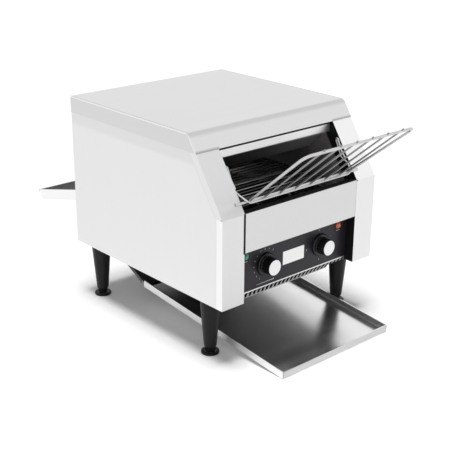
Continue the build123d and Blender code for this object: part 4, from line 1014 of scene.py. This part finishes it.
class ToasterBelt(bpy.types.Operator):
    """Build the wire belt, strand by strand, round its two sprocket sets"""

    bl_idname = "toaster.belt"
    bl_label = "Wire belt"

    def execute(self, context):
        s = sizes()
        start = AXIS["idler_shaft_turn"]
        width = HIGH["conveyor_belt"].x
        curl = s.rung / 2 + s.hook / 2 + 0.0002
        loop = self.loop_points()
        bm = bmesh.new()
        for index, (run, rise) in enumerate(loop):
            ahead = loop[(index + 1) % len(loop)]
            away = atan2(ahead[1] - rise, ahead[0] - run)
            forward = Vector((0, cos(away), sin(away)))
            outward = Vector((0, -sin(away), cos(away)))
            origin = Vector((0, start.y + run, start.z + rise))
            wire(bm, [origin - RIGHT * width, origin + RIGHT * width], s.rung / 2, 8)
            # every second strand is shifted so that its hooks clear the next one's
            shift = HOOK_SHIFT * (index % 2)
            for sign in (-1, 1):
                at = origin + RIGHT * sign * (width - HOOK_INSET - shift)
                eye = at + forward * BELT_PITCH
                path = [at, at + forward * (BELT_PITCH * 0.55) + outward * curl * 0.4,
                        eye + outward * curl - forward * 0.0006]
                path += [eye + (outward * cos(a) + forward * sin(a)) * curl
                         for a in (radians(d) for d in (25, 60, 95, 130))]
                wire(bm, path, s.hook / 2, 6, False)
        piece("belt_strands", bm, "belt_wire", "conveyor_belt", "belt_wire", 45.0, False)
        return {"FINISHED"}

    def loop_points(self):
        """Hinge points of the belt round its sprockets, in order."""
        radius = BELT_PITCH / (2 * sin(pi / BELT_TEETH))
        step = 2 * pi / BELT_TEETH
        turns = [j * step for j in range(1, BELT_TEETH // 2)]
        runs = [k * BELT_PITCH for k in range(BELT_SPAN + 1)]
        return ([(run, radius) for run in runs]
                + [(runs[-1] + radius * sin(a), radius * cos(a)) for a in turns]
                + [(run, -radius) for run in reversed(runs)]
                + [(-radius * sin(a), -radius * cos(a)) for a in turns])


class ToasterOven(bpy.types.Operator):
    """Build the heating tubes and finish the shafts and fittings of the oven"""

    bl_idname = "toaster.oven"
    bl_label = "Oven fittings"

    def execute(self, context):
        r = sizes().tube / 2
        reach = HIGH["upper_heater_tubes"].x
        end = [(0, 0), (r * 0.55, 0), (r * 0.6, 0.004), (r * 0.96, 0.0045), (r, 0.006)]
        profile = end + [(radius, 2 * reach - height) for radius, height in reversed(end)]
        # distances of the tubes behind the front, in millimetres
        for node, places in (("upper_heater_tubes", (150.0, 212.0, 274.0)),
                             ("lower_heater_tubes", (116.0, 194.0, 272.0))):
            bm = bmesh.new()
            for place in places:
                centre = Vector((-reach, FRONT + place * MM, MIDDLE[node].z))
                lathe(bm, profile, centre, RIGHT, 28)
            piece(node + "_glass", bm, "quartz", node, "quartz", 40.0)
        wear("shaft_steel", "drive_shaft", "idler_shaft", "shaft_coupling", "motor_shaft")
        wear("bronze", "shaft_bushes")
        wear("ceramic", "heater_holders", "terminal_block")
        return {"FINISHED"}


def figure_mesh(words, height, centre):
    """Flat figures that face the front."""
    letter_share = 0.7
    curve = bpy.data.curves.new("figure", "FONT")
    curve.body = words
    curve.size = height / letter_share
    curve.align_x = "CENTER"
    curve.align_y = "CENTER"
    curve.resolution_u = 2
    made = placed("figure", curve)
    made.location = centre
    made.rotation_euler = (radians(90), 0, 0)
    bpy.context.view_layer.update()
    shown = made.evaluated_get(bpy.context.evaluated_depsgraph_get())
    mesh = bpy.data.meshes.new_from_object(shown)
    mesh.transform(made.matrix_world)
    bpy.data.objects.remove(made)
    return mesh


class ToasterControls(bpy.types.Operator):
    """Build the knobs, lamps, plain plate and printed scale of the control panel"""

    bl_idname = "toaster.controls"
    bl_label = "Controls"

    def execute(self, context):
        for name in ("speed", "heat"):
            self.knob(name, name + "_knob", knob_seat(name + "_knob_turn"))
        self.print_scale()
        for name in ("green", "orange"):
            self.lamp(name, name + "_lamp")
        wear("label_metal", "label_plate")
        wear("control_plastic", "speed_controller", "heat_switch")
        wear("shaft_steel", "speed_spindle", "heat_spindle")
        return {"FINISHED"}

    def knob(self, name, node, seat):
        """Skirt with a fluted grip, a spun cap and a fine pointer rib on the side."""
        flutes, flute_depth = 18, 0.8 * MM
        bm = bmesh.new()
        lathe(bm, KNOB_SKIRT, seat, OUT, 72)
        lathe(bm, KNOB_GRIP, seat + OUT * 0.0047, OUT, 8 * flutes, flutes, flute_depth)
        piece(node + "_body", bm, "knob_plastic", node, "knob_plastic", 32.0)
        bm = bmesh.new()
        lathe(bm, KNOB_CAP, seat + OUT * KNOB_DEPTH, OUT, 72)
        piece(name + "_cap_disc", bm, name + "_cap_metal", node + "_cap", "knob_metal", 30.0)
        bm = bmesh.new()
        rib = [seat + OUT * 0.0056 + UP * 0.0153, seat + OUT * (KNOB_DEPTH - 0.0076) + UP * 0.0148]
        wire(bm, rib, 0.0004, 6, False)
        piece(name + "_pointer", bm, "knob_plastic", node)

    def print_scale(self):
        """Figures round the knobs, rising bars for the speed and a bar under each lamp."""
        bm = bmesh.new()
        face = PANEL - 0.00006
        speed, heat = AXIS["speed_knob_turn"], AXIS["heat_knob_turn"]
        # knob, figure, angle in degrees, distance from the knob's axis, share of the height
        figures = [(speed, str(k + 1), 241 - 21 * k, 0.0275, 1.0) for k in range(10)]
        figures += [(heat, "0", 95, 0.0285, 1.0), (heat, "1", 18, 0.0285, 1.0),
                    (heat, "2", 267, 0.0285, 1.1), (heat, "3", 184, 0.0340, 1.4)]
        for axis, words, angle, away, share in figures:
            a = radians(angle)
            mesh = figure_mesh(words, sizes().mark * share,
                               (axis.x + away * cos(a), face, axis.z + away * sin(a)))
            bm.from_mesh(mesh)
            bpy.data.meshes.remove(mesh)
        for k in range(15):
            bar = Vector((speed.x - 0.0196 + 0.0028 * k, face, speed.z - 0.0335 + 0.00005 * k))
            slab(bm, bar, OUT, (0.0016, 0.0008 + 0.00010 * k, PRINT_THICKNESS))
        for node in ("green_lamp", "orange_lamp"):
            bar = Vector((MIDDLE[node].x, face, LOW[node].z - 0.0032))
            slab(bm, bar, OUT, (0.008, 0.0014, PRINT_THICKNESS))
        piece("panel_print", bm, "white_print", "control_panel", weighted=False)

    def lamp(self, name, node):
        """Domed lens in a dark ring of its own colour."""
        seat = Vector((MIDDLE[node].x, PANEL, MIDDLE[node].z))
        bm = bmesh.new()
        lathe(bm, LAMP_LENS, seat, OUT, 40)
        piece(node + "_lens", bm, name + "_lens", node, "lamp_" + name + "_lens", 40.0)
        bm = bmesh.new()
        lathe(bm, LAMP_RING, seat, OUT, 40)
        piece(node + "_ring", bm, name + "_ring_plastic", node)


class ToasterLegs(bpy.types.Operator):
    """Build the tapered legs and the levelling feet"""

    bl_idname = "toaster.legs"
    bl_label = "Legs and feet"

    def execute(self, context):
        legs = bmesh.new()
        for corner in ("front_left", "front_right", "back_left", "back_right"):
            node = "foot_" + corner
            place = Vector((MIDDLE[node].x, MIDDLE[node].y, 0))
            lathe(legs, LEG, place, UP, 56)
            foot = bmesh.new()
            for profile, steps in ((FOOT_DISC, 56), (FOOT_NUT, 6), (FOOT_STUD, 20)):
                lathe(foot, profile, place, UP, steps)
            piece(node + "_disc", foot, "black_plastic", node, "leg_plastic", 32.0)
        piece("leg_set", legs, "black_plastic", "legs", "leg_plastic", 28.0)
        wear("black_plastic", "cord_gland")
        wear("motor_paint", "gear_motor")
        return {"FINISHED"}


class ToasterPanel(bpy.types.Panel):
    """Sizes, colours and pieces of the toaster"""

    bl_label = "Conveyor Toaster"
    bl_idname = "TOASTER_PT_panel"
    bl_space_type = "VIEW_3D"
    bl_region_type = "UI"
    bl_category = "Toaster"

    def draw(self, context):
        for group in (context.scene.toaster_sizes, context.scene.toaster_colours):
            column = self.layout.column(align=True)
            for key in group.bl_rna.properties.keys():
                if key not in ("rna_type", "name"):
                    column.prop(group, key)
        for operator in OPERATORS:
            self.layout.operator(operator.bl_idname)


OPERATORS = (ToasterStage, ToasterSheets, ToasterRack, ToasterBelt, ToasterOven, ToasterControls,
             ToasterLegs)
CLASSES = (ToasterSizes, ToasterColours, *OPERATORS, ToasterPanel)


def register():
    for kind in CLASSES:
        bpy.utils.register_class(kind)
    bpy.types.Scene.toaster_sizes = PointerProperty(type=ToasterSizes)
    bpy.types.Scene.toaster_colours = PointerProperty(type=ToasterColours)


def unregister():
    del bpy.types.Scene.toaster_colours
    del bpy.types.Scene.toaster_sizes
    for kind in reversed(CLASSES):
        bpy.utils.unregister_class(kind)


def main():
    register()
    for operator in OPERATORS:
        group, name = operator.bl_idname.split(".")
        getattr(getattr(bpy.ops, group), name)()


if __name__ == "__main__":
    main()
